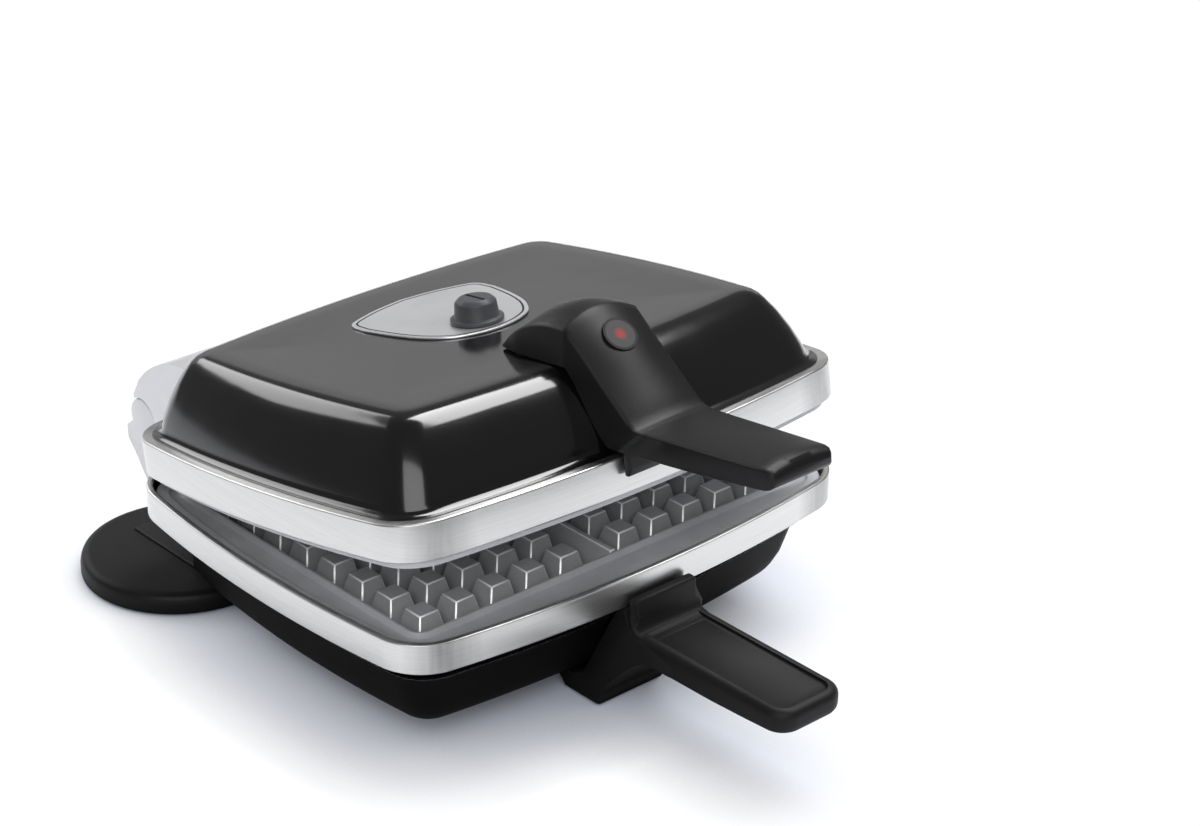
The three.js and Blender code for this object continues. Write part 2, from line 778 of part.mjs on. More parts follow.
function buildPlateSprings() {
  for (const [side, x] of [['left', -plateSpringOffset], ['right', plateSpringOffset]]) {
    const foot = [x, 0, reflectorFloor + fitGap];
    const post = solidLike(rod(plateSpringDiameter, foot, [x, 0, plateBottom - fitGap], rodSides * 2));
    place(`lower_plate_spring_${side}`, post, 'steel');
    place(`upper_plate_spring_${side}`, turnedOver(post), 'steel', lid);
  }
}

// Cover with the shaft's hole and the handle's screw holes

const coverWallPoint = (share) => {
  const low = coverSide[2];
  const high = coverSide[3];
  return [low[0] + (high[0] - low[0]) * share, low[1] + (high[1] - low[1]) * share];
};
const [upperScrewInset, upperScrewHeight] = coverWallPoint(1 / 2);
const coverWallRise = coverWallPoint(1)[1] - coverWallPoint(0)[1];
const coverWallLean = coverTopShift * coverWallRise / coverHeight;
const coverWallRun = coverWallPoint(1)[0] - coverWallPoint(0)[0] + coverWallLean;
const coverWallLength = Math.hypot(coverWallRun, coverWallRise);
const upperScrewOut = [0, -coverWallRise / coverWallLength, coverWallRun / coverWallLength];
const upperScrewY = ringFront + upperScrewInset + coverShiftAt(upperScrewHeight);
const alongUpperScrew = (x, distance) => [
  x,
  upperScrewY + upperScrewOut[1] * distance,
  upperScrewHeight + upperScrewOut[2] * distance,
];
const upperScrewXs = [-screwSpacing / 2, screwSpacing / 2];

function buildCover() {
  const summit = pressedLoop(ringDepth / 4, coverMiddle, coverTopShift);
  const top = [ringDepth / 4, coverMiddle];
  const outer = [top, ...[...coverSide].reverse()];
  const inner = offsetProfile(outer, coverWall).reverse();
  const shell = loft([
    summit,
    ...outer.slice(1).map(coverLoop),
    pressedLoop(coverFlangeInset, coverSide[0][1]),
    pressedLoop(coverFlangeInset, coverBottom),
    pressedLoop(coverFootInset + coverWall, coverBottom),
    ...inner.slice(1).map(coverLoop),
  ]);
  const shaftHole = rod(shaftDiameter + 4 * fitGap, [0, 0, coverTop - overrun], [0, 0, coverTop + overrun]);
  const screwHoles = upperScrewXs.map((x) => rod(
    screwDiameter + 2 * fitGap,
    alongUpperScrew(x, -overrun / 2),
    alongUpperScrew(x, overrun / 2),
  ));
  place('top_cover', cut(shell, shaftHole, ...screwHoles), 'glossBlack', lid);
}

// Badge: a shield with a bowed back edge and a rounded front

function buildBadge() {
  const half = badgeOutlineShares.map(([x, y]) => [x * badgeHalfWidth, y * badgeBackFromKnob]);
  const otherHalf = half.slice(1, -1).reverse().map(([x, y]) => [-x, y]);
  const shape = new THREE.Shape([...half, ...otherHalf].map(([x, y]) => new THREE.Vector2(x, y)));
  const hole = rod(shaftDiameter + 4 * fitGap, [0, 0, badgeBottom - overrun], [0, 0, badgeTop + overrun]);
  place('badge_plate', cut(prismUp(shape, badgeBottom, badgeTop), hole), 'stainless', lid);
}

// Thermostat: switch under the cover, bar knob with its shaft above

const coverCeiling = coverMiddle - coverWall;
const thermostatTop = coverCeiling - fitGap;
const shaftEnd = knobBottom - (knobBottom - thermostatTop) - shaftLength;

function buildThermostat() {
  const body = rod(thermostatDiameter, [0, 0, thermostatTop - thermostatHeight], [0, 0, thermostatTop]);
  const bore = rod(shaftDiameter + 2 * fitGap, [0, 0, shaftEnd - fitGap], [0, 0, thermostatTop + overrun]);
  place('thermostat_body', cut(body, bore), 'greyPlastic', lid);

  const knobTop = knobBottom + knobHeight;
  const capRadius = knobCapDiameter / 2;
  const cap = turned([
    [0, knobBottom],
    [knobDiameter / 2, knobBottom],
    [knobDiameter / 2, knobBottom + knobFlangeThickness / 2],
    [capRadius, knobBottom + knobFlangeThickness],
    [capRadius - knobTaper, knobTop - knobChamfer],
    [capRadius - knobTaper - knobChamfer, knobTop],
    [0, knobTop],
  ], 0, 0);
  const shaft = rod(shaftDiameter, [0, 0, shaftEnd], [0, 0, knobBottom + fitGap], rodSides * 2);
  const slotHeight = knobSlotDepth + overrun;
  const slot = moved(
    new THREE.BoxGeometry(knobSlotWidth, knobSlotLength, slotHeight),
    0,
    0,
    knobTop - knobSlotDepth + slotHeight / 2,
  );
  place('thermostat_knob', cut(join(cap, shaft), slot), 'greyPlastic', lid);
}

// Upper handle: one loft from the head on the cover to the tip

const crestY = ringFront + crestFromFront;
const crestZ = coverTop + headTopAboveCover;
const valleyY = ringFront - valleyBeyondFront;
const valleyZ = upperRingTop + valleyAboveRing;
const faceLength = Math.hypot(crestY - valleyY, crestZ - valleyZ);
const faceDown = [0, (valleyY - crestY) / faceLength, (valleyZ - crestZ) / faceLength];
const faceOut = [0, faceDown[2], -faceDown[1]];

function handleSection(top, bottom, topHalf, bottomHalf, crown) {
  const up = new THREE.Vector2(top[0] - bottom[0], top[1] - bottom[1]);
  const rise = up.length();
  up.normalize();
  const point = (x, height) => [x, bottom[0] + up.x * height, bottom[1] + up.y * height];
  const edge = Math.min(rise, upperTipThickness) / 6;
  const section = [];
  section.push(point(bottomHalf - edge, 0));
  section.push(point(bottomHalf, edge));
  section.push(point(topHalf, rise - edge));
  for (const share of [0.9, 0.6, 0.2, -0.2, -0.6, -0.9]) {
    section.push(point(topHalf * share, rise + crown * (1 - share ** 2)));
  }
  section.push(point(-topHalf, rise - edge));
  section.push(point(-bottomHalf, edge));
  section.push(point(-bottomHalf + edge, 0));
  return section;
}

function upperHandleGeometry() {
  const seat = coverMiddle + fitGap;
  const coverFront = ringFront + coverTopInset + coverTopShift;
  const headBack = ringFront + headBackFromFront;
  const tipY = ringFront - upperTipBeyondFront;
  const tipZ = upperRingTop + upperTipAboveRing;
  const low = upperRingTop + fitGap * 6;
  const under = valleyZ - upperBladeThickness;
  const between = (from, to, share) => from + (to - from) * share;
  const head = (share) => [
    between(headBack, crestY, share),
    between(seat, crestZ, Math.sin(share * Math.PI / 2)),
  ];
  const face = (share) => [between(crestY, valleyY, share), between(crestZ, valleyZ, share)];
  const wall = (share) => [
    between(coverFront, ringFront + coverFootInset, share),
    between(coverTop, low, share),
  ];
  const blade = (share) => [between(valleyY, tipY, share), between(valleyZ, tipZ, share)];
  const tipUnder = tipZ - upperTipThickness;
  const underside = (share) => [between(valleyY, tipY, share), between(under, tipUnder, share)];
  const wide = upperHandleHalfWidth;
  const back = upperHandleBackHalfWidth;
  const narrow = upperTipHalfWidth;
  const crown = upperHandleCrown;
  const end = narrow - upperTipCrown;
  const half = (share) => between(wide, narrow, share);
  const sections = [
    [[headBack, seat + upperTipCrown], [headBack, seat], narrow, narrow, 0],
    [head(0.2), [head(0.2)[0], seat], wide - upperTipCrown, wide, crown / 3],
    [head(0.5), [head(0.5)[0], seat], wide, back, crown * 0.7],
    [head(0.8), [head(0.8)[0], seat], wide, back, crown],
    [[crestY, crestZ], [coverFront + upperTipCrown, seat], wide, back, crown],
    [face(0.12), wall(0.02), wide, back, crown],
    [face(0.5), wall(0.5), wide, back, crown],
    [face(0.85), wall(0.97), wide, back, crown * 0.8],
    [face(0.97), [ringFront + fitGap, low], wide, wide, crown * 0.5],
    [blade(0.08), underside(0.02), half(0.08), half(0.08), crown * 0.4],
    [blade(0.5), underside(0.5), half(0.5), half(0.5), crown * 0.3],
    [blade(0.95), underside(0.95), half(0.95), half(0.95), upperTipCrown],
    [[tipY, between(tipZ, tipUnder, 1 / 4)], [tipY, between(tipZ, tipUnder, 3 / 4)], end, end, 0],
  ];
  const body = loft(sections.map((values) => handleSection(...values)));
  const guardBack = ringFront - guardClearance;
  const guard = prismAlongX([
    [guardBack, low + upperTipCrown],
    [guardBack, upperRingTop - upperGuardDrop],
    [guardBack - upperGuardThickness / 2, upperRingTop - upperGuardDrop],
    [guardBack - upperGuardThickness, upperRingTop - upperGuardDrop + upperGuardThickness],
    [guardBack - upperGuardThickness, under + upperTipCrown],
  ], -upperGuardHalfWidth, upperGuardHalfWidth);
  return join(body, guard);
}

function buildUpperHandle() {
  const outward = new THREE.Vector3(...faceOut);
  const faceCentre = new THREE.Vector3(0, crestY, crestZ)
    .addScaledVector(new THREE.Vector3(...faceDown), lensFromCrest)
    .addScaledVector(outward, upperHandleCrown);
  const alongFace = (distance) => faceCentre.clone().addScaledVector(outward, distance).toArray();
  const lensBack = lensProud - lensThickness;
  const lampBack = lensBack - fitGap - lampLength;
  const lensBore = rod(lensDiameter + 2 * fitGap, alongFace(lensBack - fitGap), alongFace(overrun));
  const lampBore = rod(lampDiameter + 2 * fitGap, alongFace(lampBack - fitGap), alongFace(0));
  const screwBores = upperScrewXs.map((x) => rod(
    screwDiameter + 2 * fitGap,
    alongUpperScrew(x, -overrun),
    alongUpperScrew(x, coverWall + screwBite + fitGap),
  ));
  const trimmed = geometryOf(solidOf(upperHandleGeometry()).subtract(lidEnvelope));
  place('upper_handle', cut(trimmed, lensBore, lampBore, ...screwBores), 'blackPlastic', lid);
  const lamp = rod(lampDiameter, alongFace(lampBack), alongFace(lensBack - fitGap), rodSides * 2);
  place('pilot_lens', rod(lensDiameter, alongFace(lensBack), alongFace(lensProud)), 'lampGrey', lid);
  place('pilot_lamp', lamp, 'lampRed', lid);
}

// A screw from its head's seat, the shank along the given line
function screw(lineAt, seat, end) {
  const crown = seat - screwHeadThickness * Math.sign(end - seat);
  return join(
    rod(screwDiameter, lineAt(seat), lineAt(end), rodSides * 2),
    rod(screwHeadDiameter, lineAt(crown), lineAt(seat), rodSides * 2),
  );
}

function buildScrews() {
  for (const [side, sign] of [['left', -1], ['right', 1]]) {
    const x = sign * screwSpacing / 2;
    const slanting = (distance) => alongUpperScrew(x, distance);
    const upright = (height) => [x, lowerScrewY, height];
    const upper = screw(slanting, -coverWall - 2 * fitGap, coverWall + screwBite);
    const lower = screw(upright, panFloor + panWall + lowerScrewFromFlat / 2, panFloor - screwBite);
    place(`upper_handle_screw_${side}`, upper, 'steel', lid);
    place(`lower_handle_screw_${side}`, lower, 'steel');
  }
}

// Lower handle: guard, blade, strut and front foot in one moulding

function lowerHandleOutline() {
  const bladeTop = ringBottom - lowerBladeTopDrop;
  const bladeUnder = bladeTop - lowerBladeThickness;
  const tipY = ringFront - lowerTipBeyondFront;
  const tipUnder = bladeTop - lowerTipThickness;
  const guardBack = ringFront - guardClearance;
  const guardFront = guardBack - lowerGuardThickness;
  const guardTop = ringBottom + lowerGuardHeight;
  const footFront = ringFront + frontFootFront;
  const footBack = ringFront + frontFootBack;
  const soleBack = ringFront + frontSoleBack;
  const strutTop = ringBottom - strutTopDrop;
  const strutY = ringFront - strutTopBeyondFront;
  return [
    [ringFront + panStepInset, ringBottom - fitGap],
    [guardBack, ringBottom - fitGap],
    [guardBack, guardTop],
    [guardFront, guardTop],
    [guardFront - lowerGuardFootRun / 4, ringBottom - lowerBladeTopDrop / 2],
    [guardFront - lowerGuardFootRun, bladeTop],
    [tipY + lowerTipRound, bladeTop],
    [tipY, bladeTop - lowerTipRound],
    [tipY, tipUnder + lowerTipRound / 2],
    [tipY + lowerTipRound, tipUnder],
    [strutY - overrun, bladeUnder],
    [strutY - frontFootRound, bladeUnder - frontFootRound / 4],
    [strutY, strutTop],
    [footFront, padThickness + frontFootRound],
    [footFront - frontFootRound / 3, padThickness + frontFootRound / 4],
    [footFront, padThickness],
    [soleBack - frontFootRound / 2, padThickness],
    [soleBack, padThickness + frontFootRound / 2],
    [footBack, frontFootThickness - frontFootRound / 2],
    [footBack, frontFootThickness],
    [ringFront + panSlopeInset, ringBottom - panSlopeDrop],
  ];
}

function buildLowerHandle() {
  const half = lowerHandleHalfWidth;
  const tipY = ringFront - lowerTipBeyondFront;
  const bladeTop = ringBottom - lowerBladeTopDrop;
  const side = prismAlongX(lowerHandleOutline(), -half, half);
  const corner = lowerTipCornerRadius;
  const plan = new THREE.Shape();
  plan.moveTo(-half, 0);
  plan.lineTo(-half, tipY + corner);
  plan.absarc(corner - half, tipY + corner, corner, Math.PI, Math.PI * 3 / 2);
  plan.absarc(half - corner, tipY + corner, corner, Math.PI * 3 / 2, Math.PI * 2);
  plan.lineTo(half, 0);
  const body = common(side, prismUp(plan, -overrun, lowerRingTop + overrun));
  const margin = lowerPanelMargin;
  const panelFront = tipY + margin + corner / 2;
  const panelBack = ringFront - guardClearance - lowerGuardThickness - lowerGuardFootRun - margin;
  const panel = frustum(
    2 * (half - margin) - lowerPanelDepth, panelBack - panelFront,
    2 * (half - margin), panelBack - panelFront + lowerPanelDepth,
    bladeTop - lowerPanelDepth, bladeTop + fitGap,
  );
  const guardSides = [-1, 1].map((sign) => {
    const outer = half + overrun;
    const width = outer - lowerGuardHalfWidth;
    return moved(
      new THREE.BoxGeometry(width, 2 * overrun, lowerGuardHeight + fitGap + overrun),
      sign * (lowerGuardHalfWidth + width / 2),
      ringFront,
      ringBottom - fitGap + (lowerGuardHeight + fitGap + overrun) / 2,
    );
  });
  const screwBores = lowerScrewXs.map((x) => rod(
    screwDiameter + 2 * fitGap,
    [x, lowerScrewY, panFloor - screwBite - fitGap],
    [x, lowerScrewY, panFloor + overrun],
  ));
  const padHole = frontPadGeometry(fitGap, padThickness + padRecess);
  const recess = moved(panel, 0, (panelFront + panelBack) / 2, 0);
  const shaped = cut(body, recess, ...guardSides, ...screwBores, padHole);
  place('lower_handle', geometryOf(solidOf(shaped).subtract(baseEnvelope)), 'blackPlastic');
  place('foot_pad_front', frontPadGeometry(0, padThickness + padRecess - fitGap), 'rubber');
}

function frontPadGeometry(growth, top) {
  const front = ringFront + frontFootFront + frontFootRound + padMargin / 2;
  const back = ringFront + frontSoleBack - frontFootRound / 2 - padMargin / 2;
  return moved(
    new THREE.BoxGeometry(2 * (lowerHandleHalfWidth - padMargin + growth), back - front + 2 * growth, top),
    0,
    (front + back) / 2,
    top / 2,
  );
}

// Hinges: the lower bracket holds two lugs, the upper cover holds one between them

const hingeInnerSideways = hingeOuterSideways - hingeWidth;
const hingeMiddle = (hingeOuterSideways + hingeInnerSideways) / 2;
const hingeSection = ([y, z]) => [axisY + y, axisZ + z];
const seatRadius = hingeLugRadius + hingeSeatGap;
const restTurn = THREE.MathUtils.degToRad(lidRestAngle);

function arcPoints(radius, from, to, steps) {
  return Array.from({ length: steps + 1 }, (_, step) => {
    const angle = from + (to - from) * step / steps;
    return [radius * Math.cos(angle), radius * Math.sin(angle)];
  });
}

function lowerHingeGeometry() {
  const shelf = upperRingBottom - hingeShelfUnderLid - axisZ;
  const outer = lowerHingeShares.map(([run, rise]) => [run * lowerHingeReach, rise * lowerHingeDrop]);
  const outline = [
    ...arcPoints(hingeLugRadius, -Math.PI / 9, Math.PI, roundSides / 2),
    [-hingeLugRadius - fitGap, shelf],
    [-lowerHingeReach, shelf],
    [-lowerHingeReach, -lowerHingeDrop],
    ...outer.reverse(),
  ];
  const body = prismAlongX(outline.map(hingeSection), hingeInnerSideways, hingeOuterSideways);
  const middleHalf = hingeMiddleLugWidth / 2 + fitGap;
  const sweep = rod(
    2 * hingeMiddleSweepRadius,
    [hingeMiddle - middleHalf, axisY, axisZ],
    [hingeMiddle + middleHalf, axisY, axisZ],
  );
  return geometryOf(solidOf(cut(body, sweep, pinBore())).subtract(baseEnvelope));
}

function pinBore() {
  return rod(
    hingePinDiameter + 2 * fitGap,
    [hingeInnerSideways - overrun, axisY, axisZ],
    [hingeOuterSideways - hingePinCover, axisY, axisZ],
    rodSides * 2,
  );
}

function upperHingeGeometry() {
  const closedSeatBack = Math.PI * 11 / 36 + restTurn;
  const closedSeatFront = Math.PI + restTurn / 2;
  const seat = arcPoints(seatRadius, closedSeatFront, closedSeatBack, roundSides / 3);
  const outer = upperHingeShares.map(([run, rise]) => [run * upperHingeReach, rise * upperHingeHeight]);
  const foot = seat[0];
  const outline = [
    ...seat,
    ...outer,
    [-upperHingeReach, upperHingeHeight],
    [-upperHingeReach, upperRingTop - axisZ],
    [-upperHingeReach, foot[1]],
  ];
  const body = prismAlongX(outline.map(hingeSection), hingeInnerSideways, hingeOuterSideways);
  const middleHalf = hingeMiddleLugWidth / 2;
  const lug = rod(
    2 * hingeMiddleLugRadius,
    [hingeMiddle - middleHalf, axisY, axisZ],
    [hingeMiddle + middleHalf, axisY, axisZ],
  );
  const web = prismAlongX([
    [-hingeMiddleLugRadius, 0],
    [hingeMiddleLugRadius / 3, 0],
    [hingeMiddleLugRadius / 3, seatRadius + fitGap * 2],
    [-hingeMiddleLugRadius, seatRadius + fitGap * 2],
  ].map(hingeSection), hingeMiddle - middleHalf, hingeMiddle + middleHalf);
  return geometryOf(solidOf(cut(join(body, lug, web), pinBore())).subtract(lidEnvelope));
}

function buildHinges() {
  const lower = lowerHingeGeometry();
  const upper = upperHingeGeometry();
  const pin = solidLike(rod(
    hingePinDiameter,
    [hingeInnerSideways + fitGap, axisY, axisZ],
    [hingeOuterSideways - hingePinCover - fitGap, axisY, axisZ],
    rodSides * 2,
  ));
  for (const [name, geometry, finish, parent] of [
    ['lower_hinge', lower, 'brightAluminium', base],
    ['upper_hinge', upper, 'brightAluminium', lid],
    ['hinge_pin', pin, 'steel', base],
  ]) {
    place(`${name}_right`, geometry, finish, parent);
    place(`${name}_left`, mirrored(geometry), finish, parent);
  }
}

// Rear feet: a disc, a low pad and a pillar up to the pan and the hinge bracket

function rearFootGeometry() {
  const bottom = padThickness;
  const top = rearFootThickness;
  const radius = rearFootDiameter / 2;
  const profile = [[0, bottom], [radius - padThickness, bottom], [radius, bottom + padThickness]];
  for (const [out, up] of arcPoints(rearFootRound, 0, Math.PI / 2, panRoundSteps)) {
    profile.push([radius - rearFootRound + out, top - rearFootRound + up]);
  }
  profile.push([0, top]);
  const disc = turned(profile, rearFootSideways, rearFootBehindCentre, discSides);
  const inner = pillarOuterSideways - pillarWidth;
  const underHinge = [...lowerHingeShares.slice(-2), [-1, -1]]
    .map(([run, rise]) => hingeSection([run * lowerHingeReach, rise * lowerHingeDrop - fitGap]));
  const pillar = prismAlongX([
    [pillarFrontBehindCentre, top - rearFootRound],
    [underHinge[0][0], top - rearFootRound],
    ...underHinge,
    [pillarFrontBehindCentre, underHinge.at(-1)[1]],
  ], inner, pillarOuterSideways);
  const step = prismAlongX([
    [pillarFrontBehindCentre + pillarWidth / 2, top - rearFootRound],
    [rearStepBehindCentre, top - rearFootRound],
    [rearStepBehindCentre, top + rearStepRaise],
    [pillarFrontBehindCentre + pillarWidth / 2, top + rearStepRaise],
  ], inner - pillarWidth / 4, pillarOuterSideways);
  const recess = rearPadSolid(fitGap, padThickness + padRecess);
  const foot = cut(join(disc, pillar, step), recess);
  return geometryOf(solidOf(foot).subtract(baseEnvelope));
}

function rearPadSolid(growth, top) {
  const outer = rod(rearPadDiameter + 2 * growth, [0, 0, 0], [0, 0, top], discSides);
  const bore = rod(rearPadBore - 2 * growth, [0, 0, -overrun], [0, 0, top + overrun], discSides);
  return moved(cut(outer, bore), rearFootSideways, rearFootBehindCentre, 0);
}

function buildRearFeet() {
  const foot = rearFootGeometry();
  const pad = rearPadSolid(0, padThickness + padRecess - fitGap);
  place('rear_foot_right', foot, 'blackPlastic');
  place('rear_foot_left', mirrored(foot), 'blackPlastic');
  place('foot_pad_right', pad, 'rubber');
  place('foot_pad_left', mirrored(pad), 'rubber');
}

buildBaseShell();
buildCordGland();
buildLowerRing();
buildUpperRing();
buildPlates();
buildElements();
buildReflectors();
buildPlateSprings();
buildCover();
buildBadge();
buildThermostat();
buildUpperHandle();
buildScrews();
buildLowerHandle();
buildHinges();
buildRearFeet();

export default part;
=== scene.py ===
"""A waffle maker with its lid ajar: the looks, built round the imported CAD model.

Lengths in the tables are millimetres from the middle of the trim rings, with the lid shut. The
drawing helpers turn them into metres. The lid's pieces are drawn shut and then opened to rest.
"""

import math

import bmesh
import bpy
from mathutils import Matrix, Vector
from mathutils.kdtree import KDTree


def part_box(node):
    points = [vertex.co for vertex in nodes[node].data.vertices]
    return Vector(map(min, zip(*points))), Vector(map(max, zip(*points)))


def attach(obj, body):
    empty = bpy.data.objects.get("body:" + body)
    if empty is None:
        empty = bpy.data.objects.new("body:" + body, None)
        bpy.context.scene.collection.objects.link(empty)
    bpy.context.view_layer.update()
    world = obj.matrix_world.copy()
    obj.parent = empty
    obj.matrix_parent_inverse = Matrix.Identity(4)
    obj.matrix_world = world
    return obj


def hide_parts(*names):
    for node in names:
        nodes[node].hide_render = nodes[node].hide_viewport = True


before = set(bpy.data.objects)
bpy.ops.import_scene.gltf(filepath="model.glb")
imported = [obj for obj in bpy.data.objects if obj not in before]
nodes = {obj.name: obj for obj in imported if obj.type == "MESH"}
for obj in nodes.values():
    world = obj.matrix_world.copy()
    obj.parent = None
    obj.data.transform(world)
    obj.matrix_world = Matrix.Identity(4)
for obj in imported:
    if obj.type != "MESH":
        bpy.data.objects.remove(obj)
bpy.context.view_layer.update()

# Camera
# A long lens looks down on the front left corner from above. Its place and turns were fitted to
# the outlines of both rings, the handles and the feet.

camera_data = bpy.data.cameras.new("camera")
camera_data.lens = 91.2227
camera_data.sensor_width = 36
camera = bpy.data.objects.new("camera", camera_data)
camera_turn = Matrix.Rotation(math.radians(-42.204), 4, "Z")
camera_tilt = Matrix.Rotation(math.radians(90 - 26.504), 4, "X")
camera_roll = Matrix.Rotation(math.radians(0.789), 4, "Z")
camera.matrix_world = (
    Matrix.Translation((-0.8222, -0.9655, 0.7466)) @ camera_turn @ camera_tilt @ camera_roll
)
scene = bpy.context.scene
scene.collection.objects.link(camera)
scene.camera = camera
scene.view_settings.view_transform = "Standard"


# Studio
# White paper that shows the object's shadow only near the object, a large soft light overhead, two
# low ones behind and a soft pair beside the camera.


class Value:
    """One socket of a material, with arithmetic that adds Math nodes."""

    def __init__(self, finish, socket):
        self.finish = finish
        self.socket = socket

    def math(self, operation, first, second):
        return self.finish.node("ShaderNodeMath", {"operation": operation}, {0: first, 1: second})

    def __add__(self, other):
        return self.math("ADD", self, other)

    def __sub__(self, other):
        return self.math("SUBTRACT", self, other)

    def __rsub__(self, other):
        return self.math("SUBTRACT", other, self)

    def __mul__(self, other):
        return self.math("MULTIPLY", self, other)

    def __pow__(self, other):
        return self.math("POWER", self, other)

    def __rpow__(self, other):
        return self.math("POWER", other, self)

    __radd__ = __add__
    __rmul__ = __mul__


class Finish:
    """A material whose nodes are added from Python expressions."""

    def __init__(self, owner):
        owner.use_nodes = True
        self.owner = owner
        self.tree = owner.node_tree
        self.tree.nodes.clear()

    def node(self, kind, settings=None, inputs=None, output=0):
        added = self.tree.nodes.new(kind)
        for setting, value in (settings or {}).items():
            if setting == "stops":
                ramp = added.color_ramp.elements
                while len(ramp) < len(value):
                    ramp.new(0.5)
                for element, (place, color) in zip(ramp, value):
                    grey = not hasattr(color, "__len__")
                    element.position = place
                    element.color = (color, color, color, 1) if grey else color
            else:
                setattr(added, setting, value)
        for name, value in (inputs or {}).items():
            if isinstance(value, Value):
                self.tree.links.new(value.socket, added.inputs[name])
            else:
                added.inputs[name].default_value = value
        return Value(self, added.outputs[output]) if added.outputs else None

    def place(self, scale=(1, 1, 1), turn=(0, 0, 0), start=(0, 0, 0)):
        """Object coordinates, moved, turned and scaled."""
        coordinates = self.node("ShaderNodeTexCoord", output="Object")
        inputs = {"Vector": coordinates, "Location": start, "Rotation": turn, "Scale": scale}
        return self.node("ShaderNodeMapping", {"vector_type": "POINT"}, inputs)

    def noise(self, fineness, detail=2, roughness=0.5, **placing):
        place = self.place(**placing)
        inputs = {"Vector": place, "Scale": fineness, "Detail": detail, "Roughness": roughness}
        return self.node("ShaderNodeTexNoise", {}, inputs)

    def ramp(self, value, *stops):
        return self.node("ShaderNodeValToRGB", {"stops": stops}, {"Fac": value})

    def blend(self, share, first, second):
        """A colour between two others."""
        inputs = {0: share, 6: first, 7: second}
        return self.node("ShaderNodeMix", {"data_type": "RGBA"}, inputs, output=2)

    def bump(self, height, distance, strength=1.0, under=None):
        inputs = {"Height": height, "Distance": distance, "Strength": strength}
        if under:
            inputs["Normal"] = under
        return self.node("ShaderNodeBump", {}, inputs)

    def surface(self, **inputs):
        """The finished surface; the words of a socket's name are joined by underscores."""
        named = {name.replace("_", " "): value for name, value in inputs.items()}
        shader = self.node("ShaderNodeBsdfPrincipled", {}, named)
        self.node("ShaderNodeOutputMaterial", {}, {"Surface": shader})
        return self.owner


def new_finish(name):
    return Finish(bpy.data.materials.new(name))


def tone(code):
    """A colour written as on screen, as the renderer wants it."""
    parts = [int(code[place:place + 2], 16) / 255 for place in (0, 2, 4)]
    linear = [part / 12.92 if part < 0.04 else ((part + 0.055) / 1.055) ** 2.4 for part in parts]
    return (*linear, 1)


world = bpy.data.worlds.new("studio")
scene.world = world
room = Finish(world)
seen = room.node("ShaderNodeLightPath", output="Is Camera Ray")
dim = room.node("ShaderNodeBackground", {}, {"Color": (1, 1, 1, 1), "Strength": 0.17})
white = room.node("ShaderNodeBackground", {}, {"Color": (1, 1, 1, 1), "Strength": 1.2})
shown = room.node("ShaderNodeMixShader", {}, {0: seen, 1: dim, 2: white})
room.node("ShaderNodeOutputWorld", {}, {"Surface": shown})

bpy.ops.object.select_all(action="DESELECT")
bpy.ops.mesh.primitive_circle_add(vertices=64, radius=6, fill_type="NGON", location=(0, 0, 0))
floor = bpy.context.object
floor.name = "floor"
paper = new_finish("paper")
# The paper is darker within this reach of the object, in metres.
SHADOW_REACH = 0.06
open_floor = paper.node(
    "ShaderNodeAmbientOcclusion", {"samples": 8}, {"Distance": SHADOW_REACH}, output="AO"
)
# Only reflections see the dark patch on the paper in front of the left corner, and the paper
# painted dark as shade near the object.
patch_place = paper.place(scale=(13, 9, 1), start=(1.7, 2.4, 0))
patch_length = paper.node(
    "ShaderNodeVectorMath", {"operation": "LENGTH"}, {0: patch_place}, output="Value"
)
patch = paper.ramp(patch_length, (0.2, 0.2), (1.0, 1))
lit = paper.node("ShaderNodeBsdfDiffuse", {}, {"Color": (0.86, 0.87, 0.9, 1)})
dark = paper.node("ShaderNodeBsdfDiffuse", {}, {"Color": (0.06, 0.06, 0.06, 1)})
shade = paper.node("ShaderNodeBsdfDiffuse", {}, {"Color": (0.46, 0.51, 0.64, 1)})
glow = paper.node("ShaderNodeEmission", {}, {"Color": (1, 1, 1, 1), "Strength": 1.08})
unseen = paper.node("ShaderNodeMixShader", {}, {0: open_floor * patch, 1: dark, 2: lit})
near = paper.node("ShaderNodeMixShader", {}, {0: open_floor ** 1.6, 1: shade, 2: glow})
seen = paper.node("ShaderNodeLightPath", output="Is Camera Ray")
shown = paper.node("ShaderNodeMixShader", {}, {0: seen, 1: unseen, 2: near})
paper.node("ShaderNodeOutputMaterial", {}, {"Surface": shown})
floor.data.materials.append(paper.owner)


def soft_light(name, place, width, height, power):
    """A rectangular light aimed at the object's middle."""
    light = bpy.data.lights.new(name, "AREA")
    light.shape = "RECTANGLE"
    light.size = width
    light.size_y = height
    light.energy = power
    lamp = bpy.data.objects.new(name, light)
    lamp.location = place
    aim = Vector((0, 0, 0.1)) - Vector(place)
    lamp.rotation_euler = aim.to_track_quat("-Z", "Y").to_euler()
    lamp.visible_camera = False
    scene.collection.objects.link(lamp)


soft_light("overhead", (0.85, 0.15, 1.75), 1.8, 0.75, 44)
soft_light("behind", (-0.35, 2.3, 1.3), 1.8, 0.8, 16)
soft_light("horizon", (1.6, 2.6, 0.62), 4.2, 0.8, 4)
soft_light("camera_side", (-1.2, -1.25, 1.3), 1.6, 1.4, 18)
soft_light("camera_side_middle", (-1.2, -1.25, 1.3), 0.9, 0.7, 8)


# Base pan
# Deep-drawn steel sheet in gloss black that closes the base from below. Its flank draws in under
# the ring, and its rim is turned out flat where the ring clamps it to the plate.

